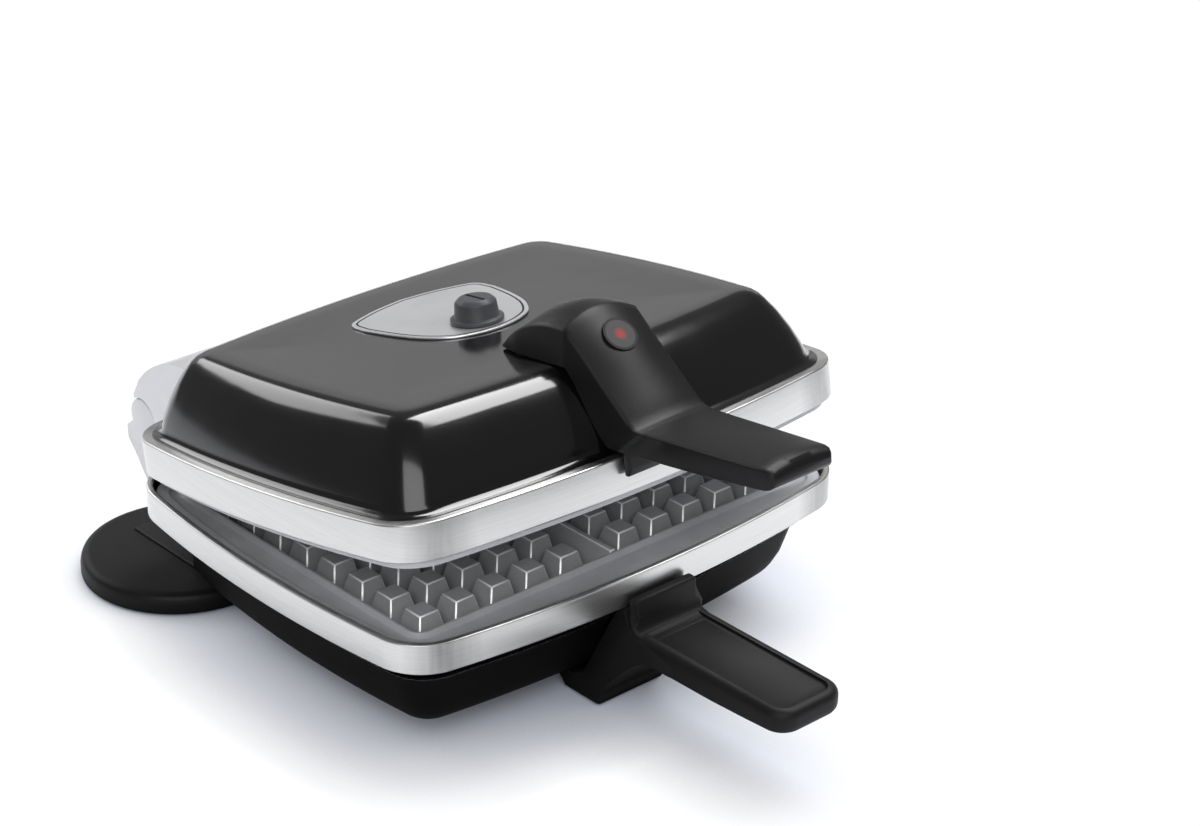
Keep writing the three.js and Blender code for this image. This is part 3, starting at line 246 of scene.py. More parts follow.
MM = 0.001
RING_MIDDLE = Vector((0, 0.018, 0))
RING_WIDTH = 280
RING_DEPTH = 234
RING_CORNER = 26
FRONT_BULGE = 13.5
END_BULGE = 10.6
RING_SHAPE = (RING_WIDTH, RING_DEPTH, RING_CORNER, FRONT_BULGE, END_BULGE)
AXIS_BACK = 137.1
AXIS_HEIGHT = 86
HINGE = RING_MIDDLE + Vector((0, AXIS_BACK, AXIS_HEIGHT)) * MM
REST_ANGLE = 9.4


def outline_arcs(width, depth, corner, front_bulge, end_bulge, inset=0, corner_share=1.0):
    """The three arcs of a bulged rectangle's back right quarter: middle, radius, both angles."""
    long_radius = ((width / 2) ** 2 + front_bulge ** 2) / (2 * front_bulge)
    end_radius = ((depth / 2) ** 2 + end_bulge ** 2) / (2 * end_bulge)
    round_off = max(corner - inset * corner_share, 4)
    long_middle = Vector((0, depth / 2 - long_radius))
    end_middle = Vector((width / 2 - end_radius, 0))
    span = end_middle - long_middle
    long_reach = long_radius - inset - round_off
    end_reach = end_radius - inset - round_off
    along = (long_reach ** 2 - end_reach ** 2 + span.length_squared) / (2 * span.length)
    unit = span.normalized()
    across = Vector((unit.y, -unit.x)) * math.sqrt(long_reach ** 2 - along ** 2)
    middle = long_middle + unit * along + across
    to_long = math.atan2(*reversed(middle - long_middle))
    to_end = math.atan2(*reversed(middle - end_middle))
    return [
        (long_middle, long_radius - inset, math.pi / 2, to_long),
        (middle, round_off, to_long, to_end),
        (end_middle, end_radius - inset, to_end, 0),
    ]


def half_outline(*shape):
    """Points of a bulged rectangle from its back middle round the right end to its front middle."""
    quarter = []
    for (centre, radius, start, end), steps in zip(outline_arcs(*shape), (14, 9, 8)):
        for step in range(steps):
            angle = start + (end - start) * step / steps
            x = centre.x + radius * math.cos(angle)
            quarter.append((x, centre.y + radius * math.sin(angle)))
    quarter.append((centre.x + radius, 0))
    return quarter + [(x, -y) for x, y in reversed(quarter[:-1])]


def ring_row(inset, height, shift=0, corner_share=1.0):
    """The rings' outline at an inset and a height."""
    outline = half_outline(*RING_SHAPE, inset, corner_share)
    return [(x, y + shift, height) for x, y in outline]


def select_points(piece, points):
    """Selects the drawn vertices that lie on these points, and the edges between them."""
    wanted = KDTree(len(points))
    for number, point in enumerate(points):
        wanted.insert(Vector(point) * MM, number)
    wanted.balance()
    bpy.ops.mesh.select_all(action="DESELECT")
    drawn = bmesh.from_edit_mesh(piece.data)
    for vertex in drawn.verts:
        if wanted.find(vertex.co)[2] < 1e-6:
            vertex.select_set(True)
    drawn.select_flush(True)


def start_drawing(name):
    """A mesh that is one selected point at the middle of the rings, in edit mode."""
    bpy.ops.object.select_all(action="DESELECT")
    bpy.ops.mesh.primitive_plane_add(size=MM, location=RING_MIDDLE)
    piece = bpy.context.object
    piece.name = name
    piece.data.name = name
    bpy.ops.object.mode_set(mode="EDIT")
    bpy.ops.mesh.merge(type="CENTER")
    return piece


def draw_line(points, start=(0, 0, 0)):
    """Moves the selected point to the first place and extrudes it along the others."""
    here = Vector(start)
    bpy.ops.transform.translate(value=(Vector(points[0]) - here) * MM)
    for before, after in zip(points, points[1:]):
        step = (Vector(after) - Vector(before)) * MM
        bpy.ops.mesh.extrude_region_move(TRANSFORM_OT_translate={"value": step})


def draw_rows(name, rows):
    """Rows of points, each bridged to the one before it."""
    piece = start_drawing(name)
    draw_line(rows[0])
    for before, row in zip(rows, rows[1:]):
        select_points(piece, [before[-1]])
        bpy.ops.mesh.duplicate()
        draw_line(row, before[-1])
        select_points(piece, before + row)
        bpy.ops.mesh.bridge_edge_loops()
    return piece


def apply_modifier(piece, kind, **settings):
    bpy.ops.object.mode_set(mode="OBJECT")
    modifier = piece.modifiers.new("shaping", kind)
    for setting, value in settings.items():
        setattr(modifier, setting, value)
    bpy.ops.object.modifier_apply(modifier="shaping")


def face_outwards(merge=False):
    """Points all faces outwards, with the doubles merged first where there are any."""
    bpy.ops.mesh.select_all(action="SELECT")
    if merge:
        bpy.ops.mesh.remove_doubles(threshold=1e-5)
    bpy.ops.mesh.normals_make_consistent(inside=False)


def mirror_across(piece, *axes):
    """Adds the mirrored halves and closes the seam."""
    sides = ["X" in axes, "Y" in axes, False]
    apply_modifier(piece, "MIRROR", use_axis=sides, merge_threshold=2e-5)
    bpy.ops.object.mode_set(mode="EDIT")
    face_outwards(merge=True)


def close_rows(piece, *rows):
    """Fills the openings that these rows and their mirrored halves leave."""
    for row in rows:
        select_points(piece, row + [(-x, y, z) for x, y, z in row])
        bpy.ops.mesh.edge_face_add()
    face_outwards()


def choose(piece):
    """Leaves this piece alone selected."""
    bpy.ops.object.select_all(action="DESELECT")
    piece.select_set(True)
    bpy.context.view_layer.objects.active = piece


def settle(piece, body, replaced, finish, smooth=35, opened=False):
    """Ends a piece: its place goes into its mesh, and it gets its body and finish."""
    if bpy.context.object.mode == "EDIT":
        bpy.ops.object.mode_set(mode="OBJECT")
    choose(piece)
    if opened:
        bpy.ops.transform.rotate(
            value=math.radians(REST_ANGLE), orient_axis="X", center_override=HINGE
        )
    bpy.ops.object.transform_apply(location=True, rotation=True, scale=True)
    bpy.ops.object.shade_smooth_by_angle(angle=math.radians(smooth))
    if finish:
        piece.data.materials.clear()
        piece.data.materials.append(finish)
    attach(piece, body)
    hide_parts(*replaced)


def pan_finish():
    finish = new_finish("gloss_black_pan")
    ripple = finish.noise(38, 2)
    fine = finish.noise(900, 2)
    return finish.surface(
        Base_Color=finish.blend(ripple, tone("060607"), tone("0b0b0c")),
        Roughness=0.42 + fine * 0.1,
        Specular_IOR_Level=0.05,
        Normal=finish.bump(ripple, 0.0004),
    )


PAN_WALL = 1.5
PAN_ROUND = 25.1
ROUND_STEPS = 10
round_slope = math.atan2(20.5, 33.8)
round_inset = 23.7 + PAN_ROUND * math.cos(round_slope)
round_height = 25.6 + PAN_ROUND * math.sin(round_slope)
pan_side = [(98, 14.2), (70, 13.7)]
for step in range(ROUND_STEPS, -1, -1):
    angle = round_slope + (math.pi / 2 - round_slope) * step / ROUND_STEPS
    inset = round_inset - PAN_ROUND * math.cos(angle)
    pan_side.append((inset, round_height - PAN_ROUND * math.sin(angle)))
pan_side += [
    (20.5, 32), (17.6, 42), (15.4, 50), (14.0, 56), (12.9, 59), (11.5, 60.0), (1.8, 60.3),
]
pan_rows = [ring_row(inset, height, 0, 0.5) for inset, height in pan_side]
pan = draw_rows("base_pan", pan_rows)
mirror_across(pan, "X")
close_rows(pan, pan_rows[0])
apply_modifier(pan, "SOLIDIFY", thickness=PAN_WALL * MM, offset=-1)
settle(pan, "base", ["base_shell"], pan_finish())


# Lower trim ring
# Stainless band clamped round the rim of the base. It is rolled over at the top towards the
# plate, polished and brushed lengthwise. A darker patch at each corner is a painted reflection.


def rounded(points, radius, steps=4):
    """An open line with its inner corners rounded."""
    line = [Vector(points[0])]
    for before, here, after in zip(points, points[1:], points[2:]):
        corner = Vector(here)
        arm_in = Vector(before) - corner
        arm_out = Vector(after) - corner
        reach = min(radius, arm_in.length * 0.45, arm_out.length * 0.45)
        start = corner + arm_in.normalized() * reach
        end = corner + arm_out.normalized() * reach
        for step in range(steps + 1):
            share = step / steps
            line.append(start.lerp(corner, share).lerp(corner.lerp(end, share), share))
    line.append(Vector(points[-1]))
    return line


def ring_sweep(name, section):
    """Spins a section drawn at the front middle round the arcs of one quarter, then mirrors it."""
    piece = start_drawing(name)
    draw_line([(0, inset - RING_DEPTH / 2, height) for inset, height in section])
    bpy.ops.mesh.select_all(action="SELECT")
    for (centre, _, start, end), steps in zip(outline_arcs(*RING_SHAPE), (24, 14, 14)):
        place = RING_MIDDLE + Vector((centre.x, -centre.y, 0)) * MM
        bpy.ops.mesh.spin(steps=steps, angle=end - start, center=place, axis=(0, 0, 1))
    mirror_across(piece, "X", "Y")
    return piece


def brushed_steel(name, turn=(0, 0, 0)):
    finish = new_finish(name)
    streak = finish.noise(1, 3, 0.6, scale=(26, 26, 2600), turn=turn)
    broad = finish.noise(1, 2, 0.5, scale=(9, 9, 420), turn=turn)
    cloud = finish.noise(14, 2)
    ground = finish.noise(1, 3, 0.6, scale=(420, 420, 30), turn=turn)
    # The darker, streaked patch at each corner is a painted reflection mixed into the colour.
    flat = finish.place(scale=(1, 1, 0), start=-RING_MIDDLE)
    quarter = finish.node("ShaderNodeVectorMath", {"operation": "ABSOLUTE"}, {0: flat})
    painted_reflection_middle = (0.119, 0.115, 0)
    ends = {0: quarter, 1: painted_reflection_middle}
    reach = finish.node("ShaderNodeVectorMath", {"operation": "DISTANCE"}, ends, output="Value")
    corner = finish.ramp(reach * 20, (0.0, 0.75), (0.2, 0.55), (0.46, 0)) * (0.5 + ground * 0.6)
    base = finish.blend(streak, tone("bcbcbb"), tone("e6e6e4"))
    base = finish.blend(cloud * 0.35, base, tone("cfcfcd"))
    return finish.surface(
        Base_Color=finish.blend(corner, base, tone("5c5c5c")),
        Metallic=1.0,
        Roughness=0.2 + streak * 0.16 + broad * 0.08,
        Normal=finish.bump(streak * 0.6 + broad * 0.4, 0.00005, 0.7),
    )


lower_band = rounded([
    (1.2, 60.2), (0, 60.2), (0, 75), (3.2, 75), (3.2, 72.9), (1.2, 71.7), (1.2, 60.2),
], 0.9)
lower_ring = ring_sweep("lower_ring", lower_band)
settle(lower_ring, "base", ["lower_trim_ring"], brushed_steel("brushed_stainless"))


# Grid plates
# Cast aluminium, machined on top and held on two posts: a broad flange, a gutter, a raised lip
# round two wells, and forty tapered blocks in each well. The upper one is the same, turned over.

WELL_SHAPE = (231.6, 177.4, 6, 0.3, 0.3)
PLATE_TOP = 70.2
BLOCK_FOOT = 56.9
BLOCK_PITCH = 20.5
BLOCK_COLUMNS = 5
BLOCK_ROWS = 8
FIRST_BLOCK = 17.8
MEETING_HEIGHT = 70.75


def well_row(margin, height):
    """The outline of both wells together at a margin inside it and a height."""
    return [(x, y, height) for x, y in half_outline(*WELL_SHAPE, margin)]


def cast_finish(name, low, high, rough, metallic):
    finish = new_finish(name)
    mottle = finish.noise(60, 4, 0.6)
    grain = finish.noise(700, 3, 0.6)
    scratch = finish.noise(1, 2, 0.5, scale=(60, 1500, 60), turn=(0, 0, 0.35))
    base = finish.blend(mottle * 0.7 + grain * 0.3, tone(low), tone(high))
    return finish.surface(
        Base_Color=base,
        Metallic=metallic,
        Roughness=rough + mottle * 0.2 + scratch * 0.1,
        Normal=finish.bump(mottle * 0.5 + grain * 0.35 + scratch * 0.25, 0.0004, 0.6),
    )


plate_rows = [
    well_row(60, 57.3), well_row(5.4, 57.3), well_row(4.0, 57.8), well_row(3.4, 58.8),
    well_row(0.8, 69.6), well_row(0.3, PLATE_TOP), well_row(-0.2, 70.5), well_row(-1.2, 70.5),
    well_row(-1.7, 70.1), well_row(-3.2, 68.9), well_row(-3.8, 68.6), ring_row(13, 68.6),
    ring_row(11.4, 69.0), ring_row(10.8, 69.4), ring_row(10.4, 70.0), ring_row(9.7, PLATE_TOP),
    ring_row(5.0, PLATE_TOP), ring_row(4.5, 69.9), ring_row(4.4, 69.3), ring_row(4.4, 66.4),
    ring_row(7.2, 66.4), ring_row(13, 66.0), well_row(-3.6, 66.0), well_row(-1.2, 63.8),
    well_row(-0.2, 53.9), well_row(0.8, 53.3), well_row(60, 53.3),
]
plate = draw_rows("lower_grid_plate", plate_rows)
mirror_across(plate, "X")
close_rows(plate, plate_rows[0], plate_rows[-1])
bpy.ops.object.mode_set(mode="OBJECT")


def select_vertices(piece, test):
    """Selects the vertices whose place in the mesh passes the test, in millimetres."""
    bpy.ops.mesh.select_all(action="DESELECT")
    drawn = bmesh.from_edit_mesh(piece.data)
    for vertex in drawn.verts:
        if test(vertex.co / MM):
            vertex.select_set(True)
    drawn.select_flush(True)


def bevel(piece, width, segments, angle, **settings):
    """Rounds the edges that are sharper than the angle."""
    apply_modifier(
        piece, "BEVEL", width=width * MM, segments=segments, limit_method="ANGLE",
        angle_limit=math.radians(angle), **settings,
    )


def tapered_block(name, foot, top, low, high, rounding=0, finishes=()):
    """A frustum, its foot and top as width and depth, with narrow bevels in the second finish."""
    bpy.ops.object.select_all(action="DESELECT")
    bpy.ops.mesh.primitive_cube_add(size=MM, location=RING_MIDDLE)
    block = bpy.context.object
    block.name = name
    for finish in finishes:
        block.data.materials.append(finish)
    bpy.ops.object.mode_set(mode="EDIT")
    for end, (width, depth), height in ((1, top, high), (-1, foot, low)):
        select_vertices(block, lambda place: place.z * end > 0)
        bpy.ops.transform.resize(value=(width, depth, 1), center_override=RING_MIDDLE)
        bpy.ops.transform.translate(value=(0, 0, height * MM - 0.5 * end * MM))
    bpy.ops.object.mode_set(mode="OBJECT")
    if rounding:
        bevel(block, rounding, 1, 30, material=1)
    return block


def own_copy(piece, name):
    """A copy with its own mesh."""
    copy = piece.copy()
    copy.data = piece.data.copy()
    copy.name = name
    scene.collection.objects.link(copy)
    return copy


def mirror_mesh(piece, *axis):
    """Turns the mesh over through the middle of the rings and leaves it in edit mode."""
    choose(piece)
    bpy.ops.object.mode_set(mode="EDIT")
    bpy.ops.mesh.select_all(action="SELECT")
    bpy.ops.transform.mirror(constraint_axis=axis, center_override=RING_MIDDLE)
    bpy.ops.mesh.normals_make_consistent(inside=False)


cast_dark = cast_finish("cast_aluminium", "9c9da0", "c4c5c8", 0.34, 0.3)
# The near-white finish on the blocks' narrow bevels is partly edge wear and partly a painted
# highlight along the edges.
cast_highlight_and_wear = cast_finish("cast_aluminium_edge_highlight_and_wear", "f6f6f8", "ffffff", 0.2, 0.4)
cast_finishes = (cast_dark, cast_highlight_and_wear)
first_block = tapered_block(
    "grid_block", (16.6, 16.6), (10.6, 10.6), BLOCK_FOOT, PLATE_TOP, 0.55, cast_finishes
)
blocks = []
for column in range(BLOCK_COLUMNS):
    for row in range(BLOCK_ROWS):
        for side in (-1, 1):
            block = own_copy(first_block, "grid_block") if blocks else first_block
            x = side * (FIRST_BLOCK + column * BLOCK_PITCH)
            y = (row - (BLOCK_ROWS - 1) / 2) * BLOCK_PITCH
            block.location = RING_MIDDLE + Vector((x, y, 0)) * MM
            blocks.append(block)
divider = tapered_block(
    "well_divider", (9.5, 174), (3, 174), BLOCK_FOOT, PLATE_TOP, 0.5, cast_finishes
)
for finish in cast_finishes:
    plate.data.materials.append(finish)
choose(plate)
for part in [*blocks, divider]:
    part.select_set(True)
bpy.ops.object.join()
upper_grid = own_copy(plate, "upper_grid_plate")
settle(plate, "base", ["lower_plate"], None, 30)
mirror_mesh(upper_grid, False, False, True)
bpy.ops.transform.translate(value=(0, 0, 2 * MEETING_HEIGHT * MM))
settle(upper_grid, "lid", ["upper_plate"], None, 30, opened=True)


# Rear feet
# Moulded black discs that carry the back of the base on rubber pads. Each has a raised step on
# its top and a pillar screwed to the pan under the hinge bracket.


def matte_plastic(name, low, high, rough=0.46, grain_fineness=1900):
    finish = new_finish(name)
    grain = finish.noise(grain_fineness, 2, 0.6)
    cloud = finish.noise(22, 2)
    return finish.surface(
        Base_Color=finish.blend(cloud * 0.6 + grain * 0.4, tone(low), tone(high)),
        Roughness=rough + grain * 0.12 - cloud * 0.05,
        Specular_IOR_Level=0.24,
        Normal=finish.bump(grain, 0.00012, 0.5),
    )


def side_prism(name, outline, left, right, rounding=0, segments=3, angle=25):
    """An outline in (y, z), filled, extruded along X and rounded on its edges."""
    piece = start_drawing(name)
    draw_line([(left, y, z) for y, z in outline])
    bpy.ops.mesh.select_all(action="SELECT")
    bpy.ops.mesh.edge_face_add()
    bpy.ops.mesh.extrude_region_move(
        TRANSFORM_OT_translate={"value": ((right - left) * MM, 0, 0)}
    )
    face_outwards()
    bpy.ops.object.mode_set(mode="OBJECT")
    if rounding:
        bevel(piece, rounding, segments, angle)
    return piece


def turned_piece(name, profile, centre, steps=64):
    """A profile of (radius, height) spun round an upright line."""
    x, y = centre
    piece = start_drawing(name)
    draw_line([(x + radius, y, height) for radius, height in profile])
    bpy.ops.mesh.select_all(action="SELECT")
    place = RING_MIDDLE + Vector((x, y, 0)) * MM
    bpy.ops.mesh.spin(steps=steps, angle=2 * math.pi, center=place, axis=(0, 0, 1))
    face_outwards(merge=True)
    bpy.ops.object.mode_set(mode="OBJECT")
    return piece


def fuse(piece, *others, operation="UNION"):
    """Unites pieces into one closed body, or cuts them from it."""
    for other in others:
        choose(piece)
        apply_modifier(piece, "BOOLEAN", object=other, operation=operation, solver="EXACT")
        bpy.data.objects.remove(other)


def mirrored_copy(piece, name):
    """A copy on the other side of the middle."""
    copy = own_copy(piece, name)
    mirror_mesh(copy, True, False, False)
    bpy.ops.object.mode_set(mode="OBJECT")
    return copy


FOOT_MIDDLE = (89, 132.5)
foot_plastic = matte_plastic("foot_plastic", "070708", "0e0e0f")
disc_profile = rounded([
    (0, 2.1), (39, 2.1), (39, 1.2), (50, 1.2), (50, 7.6), (49, 10.6), (46, 12), (0, 12),
], 1.6, 3)
rear_foot = turned_piece("rear_foot_disc_right", disc_profile, FOOT_MIDDLE)
pillar = side_prism("pillar", [
    (84, 9), (111.5, 9), (111.5, 38.4), (99, 38.0), (92.4, 36.6), (84, 36.6),
], 70.5, 97.5, 2)
step_pad = side_prism("step", [(97.5, 9), (162, 9), (162, 13.2), (97.5, 13.2)], 63.8, 97.5, 1)
fuse(rear_foot, pillar, step_pad)
left_foot = mirrored_copy(rear_foot, "rear_foot_disc_left")
settle(rear_foot, "base", ["rear_foot_right"], foot_plastic)
settle(left_foot, "base", ["rear_foot_left"], foot_plastic)


# Lower handle
# One black moulding screwed to the front of the pan: a finger guard against the ring, a blade
# with a sunk panel and a raised rounded rim, and a flat strut down to the front foot.

BLADE_SIZE = (41.2, 101.6)
BLADE_MIDDLE = -167.5
BLADE_FOOT = 38.3
BLADE_TOP = 50.4
BLADE_END = -209
lower_plastic = matte_plastic("lower_handle_plastic", "09090a", "101012", 0.5)


def round_edges(piece, radius, segments, test):
    """Bevels the edges whose middle and direction pass the test, in millimetres."""
    drawn = bmesh.from_edit_mesh(piece.data)
    bpy.ops.mesh.select_all(action="DESELECT")
    for edge in drawn.edges:
        first, second = (vertex.co for vertex in edge.verts)
        middle = ((first + second) / 2 + piece.location - RING_MIDDLE) / MM
        if test(middle, (second - first).normalized()):
            edge.select_set(True)
    bpy.ops.mesh.bevel(offset=radius * MM, segments=segments, affect="EDGES")


blade = tapered_block("lower_handle_moulding", BLADE_SIZE, BLADE_SIZE, BLADE_FOOT, BLADE_TOP)
bpy.ops.object.transform_apply(location=True)
bpy.ops.object.mode_set(mode="EDIT")
bpy.ops.mesh.select_all(action="SELECT")
bpy.ops.transform.translate(value=(0, BLADE_MIDDLE * MM, 0))
# The upright front corners, then the lower front edge, then the rim round the top.
bpy.ops.mesh.select_mode(type="EDGE")
round_edges(blade, 11, 10, lambda middle, along: abs(along.z) > 0.9 and middle.y < -200)
round_edges(blade, 4.5, 4, lambda middle, along: middle.z < 39 and middle.y < -207.4)
round_edges(blade, 4, 5, lambda middle, along: (
    middle.z > 50 and (abs(middle.x) > 20 or middle.y < BLADE_END)
))
# The sunk panel inside the rim.
bpy.ops.mesh.select_mode(type="FACE")
bpy.ops.mesh.select_all(action="DESELECT")
for face in bmesh.from_edit_mesh(blade.data).faces:
    if face.normal.z > 0.99:
        face.select_set(True)
bpy.ops.mesh.inset(thickness=1.0 * MM)
bpy.ops.mesh.extrude_region_move(TRANSFORM_OT_translate={"value": (0, 0, -1.2 * MM)})
bpy.ops.mesh.inset(thickness=1.4 * MM, depth=-0.6 * MM)
bpy.ops.mesh.select_mode(type="VERT")
bevel(blade, 0.8, 2, 35)
guard = side_prism("guard", [
    (-118.2, 46), (-118.2, 65.5), (-123.5, 65.5), (-124.3, 56), (-124.9, 53), (-126.4, 50.6),
    (-129.5, 49.4), (-134, 48.8), (-134, 46),
], -18.4, 18.4)
bpy.ops.object.mode_set(mode="EDIT")
select_vertices(guard, lambda place: place.z < 54)
bpy.ops.transform.resize(value=(1.1, 1, 1), center_override=RING_MIDDLE)
bevel(guard, 1.5, 3, 40)
strut = side_prism("strut", [
    (-113.8, 59.7), (-118.2, 59.7), (-122, 50), (-150, 44), (-148, 38.4), (-136, 38.1),
    (-130, 36.9), (-127.2, 35.4), (-125, 33.6), (-115.4, 24.9), (-105.6, 13.4), (-100.5, 6.4),
    (-101.6, 3.2), (-100.5, 1.2), (-77.5, 1.2), (-75, 3.7), (-68.5, 10.5), (-68.5, 13.2),
    (-82.5, 11.3), (-88.9, 14.1), (-91.5, 16.8), (-96, 25.6),
], -20.7, 20.7)
bpy.ops.object.mode_set(mode="EDIT")
bpy.ops.mesh.select_mode(type="EDGE")
round_edges(strut, 1.8, 4, lambda middle, along: (
    middle.z < 6 and (abs(middle.x) > 20 or middle.y < -99)
))
bpy.ops.mesh.select_mode(type="VERT")
bevel(strut, 0.8, 2, 35)
fuse(blade, guard, strut)
settle(blade, "base", ["lower_handle"], lower_plastic, 40)


# Lower hinge brackets
# Polished aluminium castings bolted to the back of the base. Each has two lugs that hold the
# pin, with a gap between them where the lid's hinge turns.


def polished_casting():
    finish = new_finish("polished_casting")
    cloud = finish.noise(30, 3)
    fine = finish.noise(1100, 2)
    return finish.surface(
        Base_Color=finish.blend(cloud, tone("c6c6c8"), tone("dcdcde")),
        Metallic=0.6,
        Roughness=0.3 + fine * 0.12,
        Normal=finish.bump(cloud * 0.6 + fine * 0.4, 0.0002, 0.4),
    )


LUG_RADIUS = 10
LUG_START = -0.44
LUG_STEPS = 16
BRACKET_LEFT, BRACKET_RIGHT = 63.5, 104.5
casting = polished_casting()
bracket_outline = []
for step in range(LUG_STEPS + 1):
    angle = LUG_START + (math.pi - LUG_START) * step / LUG_STEPS
    bracket_outline.append(
        (AXIS_BACK + LUG_RADIUS * math.cos(angle), AXIS_HEIGHT + LUG_RADIUS * math.sin(angle))
    )
bracket_outline += [
    (126.8, 74.6), (114, 74.6), (114, 59.7), (107, 48), (92.1, 40), (111.9, 38.96),
    (128.1, 43.86), (138.9, 55.62), (144.705, 63.607), (151.05, 70.614), (151.5, 77.621),
]
bracket = side_prism(
    "hinge_bracket_right", bracket_outline, BRACKET_LEFT, BRACKET_RIGHT, 1.0, 2, 32
)
lug_gap = turned_piece("lug_gap", [(0, -6), (12.4, -6), (12.4, 6), (0, 6)], (0, 0), 48)
choose(lug_gap)
bpy.ops.transform.rotate(value=math.pi / 2, orient_axis="Y", center_override=RING_MIDDLE)
lug_gap_place = Vector(((BRACKET_LEFT + BRACKET_RIGHT) / 2, AXIS_BACK, AXIS_HEIGHT))
bpy.ops.transform.translate(value=lug_gap_place * MM)
fuse(bracket, lug_gap, operation="DIFFERENCE")
left_bracket = mirrored_copy(bracket, "hinge_bracket_left")
settle(bracket, "base", ["lower_hinge_right"], casting)
settle(left_bracket, "base", ["lower_hinge_left"], casting)


# Upper trim ring
# The same stainless band clamped round the rim of the lid, rolled in at its foot towards the
# upper plate, with a shelf at the top that carries the cover.

upper_band = rounded([
    (5.6, 93.1), (0, 93.1), (0, 75.5), (3.2, 75.5), (3.2, 77.6), (1.2, 78.8), (1.2, 91.0),
    (5.6, 91.0), (5.6, 93.1),
], 0.9)
upper_ring = ring_sweep("upper_ring", upper_band)
lid_steel = brushed_steel("brushed_stainless_lid", (math.radians(REST_ANGLE), 0, 0))
settle(upper_ring, "lid", ["upper_trim_ring"], lid_steel, opened=True)


# Cover
# Pressed steel in gloss black enamel, let into the upper ring: a flared foot, steep sides, a
# soft shoulder and a broad top with a faint dish.


def gloss_finish():
    finish = new_finish("gloss_black_enamel")
    ripple = finish.noise(55, 1)
    cloud = finish.noise(9, 1)
    return finish.surface(
        Base_Color=finish.blend(cloud, tone("070708"), tone("0d0d0f")),
        Roughness=0.13 + ripple * 0.05,
        Normal=finish.bump(ripple, 0.0002, 0.5),
        Coat_Weight=0.4,
        Coat_Roughness=0.1,
    )


COVER_WALL = 1.2
COVER_FOOT = 93.4
COVER_TOP = 130
TOP_SHIFT = 1.5
cover_side = [
    (4.6, COVER_FOOT), (5.6, 93.7), (7.6, 94.2), (8.7, 95.4), (9.3, 97.4), (10.9, 102.0),
    (14.6, 110), (19.4, 118.4), (23.6, 124.2), (25.9, 126.9), (28.4, 128.6), (31.2, 129.6),
    (34.5, COVER_TOP),
]
cover_rows = []
for inset, height in cover_side:
    shift = TOP_SHIFT * (height - COVER_FOOT) / (COVER_TOP - COVER_FOOT)
    cover_rows.append(ring_row(inset, height, shift, 0.5))
for inset, height in ((42, 129.95), (56, 129.5), (74, 129.25), (96, 129.2)):
    cover_rows.append(ring_row(inset, height, TOP_SHIFT, 0.5))
cover = draw_rows("lid_cover", cover_rows)
mirror_across(cover, "X")
close_rows(cover, cover_rows[-1])
apply_modifier(cover, "SOLIDIFY", thickness=COVER_WALL * MM, offset=-1)
settle(cover, "lid", ["top_cover"], gloss_finish(), opened=True)


# Badge
# A thin bright metal plate in the shape of a shield, stuck to the cover's top round the knob,
# with one printed line inside its edge.


def badge_finish():
    finish = new_finish("badge_metal")
    fine = finish.noise(900, 2)
    cloud = finish.noise(40, 2)
    return finish.surface(
        Base_Color=finish.blend(cloud, tone("dcdde0"), tone("f8f8fa")),
        Metallic=0.9,
        Roughness=0.26 + fine * 0.1,
        Normal=finish.bump(fine, 0.00005, 0.5),
    )


BADGE_FOOT = 129.3
BADGE_TOP = 130.3
LINE_MARGIN = 2.0
LINE_WIDTH = 1.0
badge_half = [
    (0, 58.8), (18, 56.1), (34, 50.6), (38.8, 45.6), (39.7, 38.1), (39.5, 33), (36.4, 16.5),
    (31.6, 2.4), (24, -8.7), (16, -13.8), (8, -16.4), (0, -17.2),
]


def smooth_line(points, steps=5):
    """A line through the points with no corners."""
    line = []
    ends = [points[0], *points, points[-1]]
    for first, second, third, fourth in zip(ends, ends[1:], ends[2:], ends[3:]):
        a, b, c, d = (Vector(point) for point in (first, second, third, fourth))
        for step in range(steps):
            t = step / steps
            square = 2 * a - 5 * b + 4 * c - d
            cube = 3 * b - a - 3 * c + d
            line.append(0.5 * (2 * b + (c - a) * t + square * t * t + cube * t ** 3))
    return [*line, Vector(points[-1])]


badge_right = smooth_line(badge_half)
badge_left = [(-point.x, point.y) for point in badge_right[-2:0:-1]]
badge = start_drawing("badge")
badge.data.materials.append(badge_finish())
badge.data.materials.append(matte_plastic("badge_ink", "101011", "19191a", 0.4))
draw_line([(x, y, BADGE_FOOT) for x, y in [*badge_right, *badge_left]])
bpy.ops.mesh.select_all(action="SELECT")
bpy.ops.mesh.edge_face_add()
lift = (0, 0, (BADGE_TOP - BADGE_FOOT) * MM)
bpy.ops.mesh.extrude_region_move(TRANSFORM_OT_translate={"value": lift})
for width, material in ((LINE_MARGIN, 1), (LINE_WIDTH, 0)):
    bpy.ops.mesh.inset(thickness=width * MM)
    badge.active_material_index = material
    bpy.ops.object.material_slot_assign()
face_outwards()
bevel(badge, 0.3, 2, 50)
settle(badge, "lid", ["badge_plate"], None, opened=True)


# Thermostat knob
# A short cap moulded in grey plastic, with a bevelled rim and a pointer slot across it. It is
# pushed onto the shaft over a thin flange.

knob_finish = matte_plastic("knob_plastic", "3c3d40", "4b4c4f", 0.36, 1500)
knob_profile = rounded([
    (0, 130.6), (12.8, 130.6), (12.8, 132.2), (10.6, 132.6), (9.9, 139.6), (7.9, 141.6), (0, 141.6),
], 0.5, 2)
knob = turned_piece("knob", knob_profile, (0, 0), 48)
slot_cut = tapered_block("slot", (1.8, 14), (1.8, 14), 140.2, 150)
fuse(knob, slot_cut, operation="DIFFERENCE")
settle(knob, "knob", ["thermostat_knob"], knob_finish, opened=True)


# Upper handle
# One black moulding screwed to the cover's front: a head that rises over the cover to a crest,
# a broad face down to the ring, and a flat blade with a rounded tail.

NARROW_HALF = 18.8
WIDE_HALF = 21.7
FLARED_HALF = 24.3


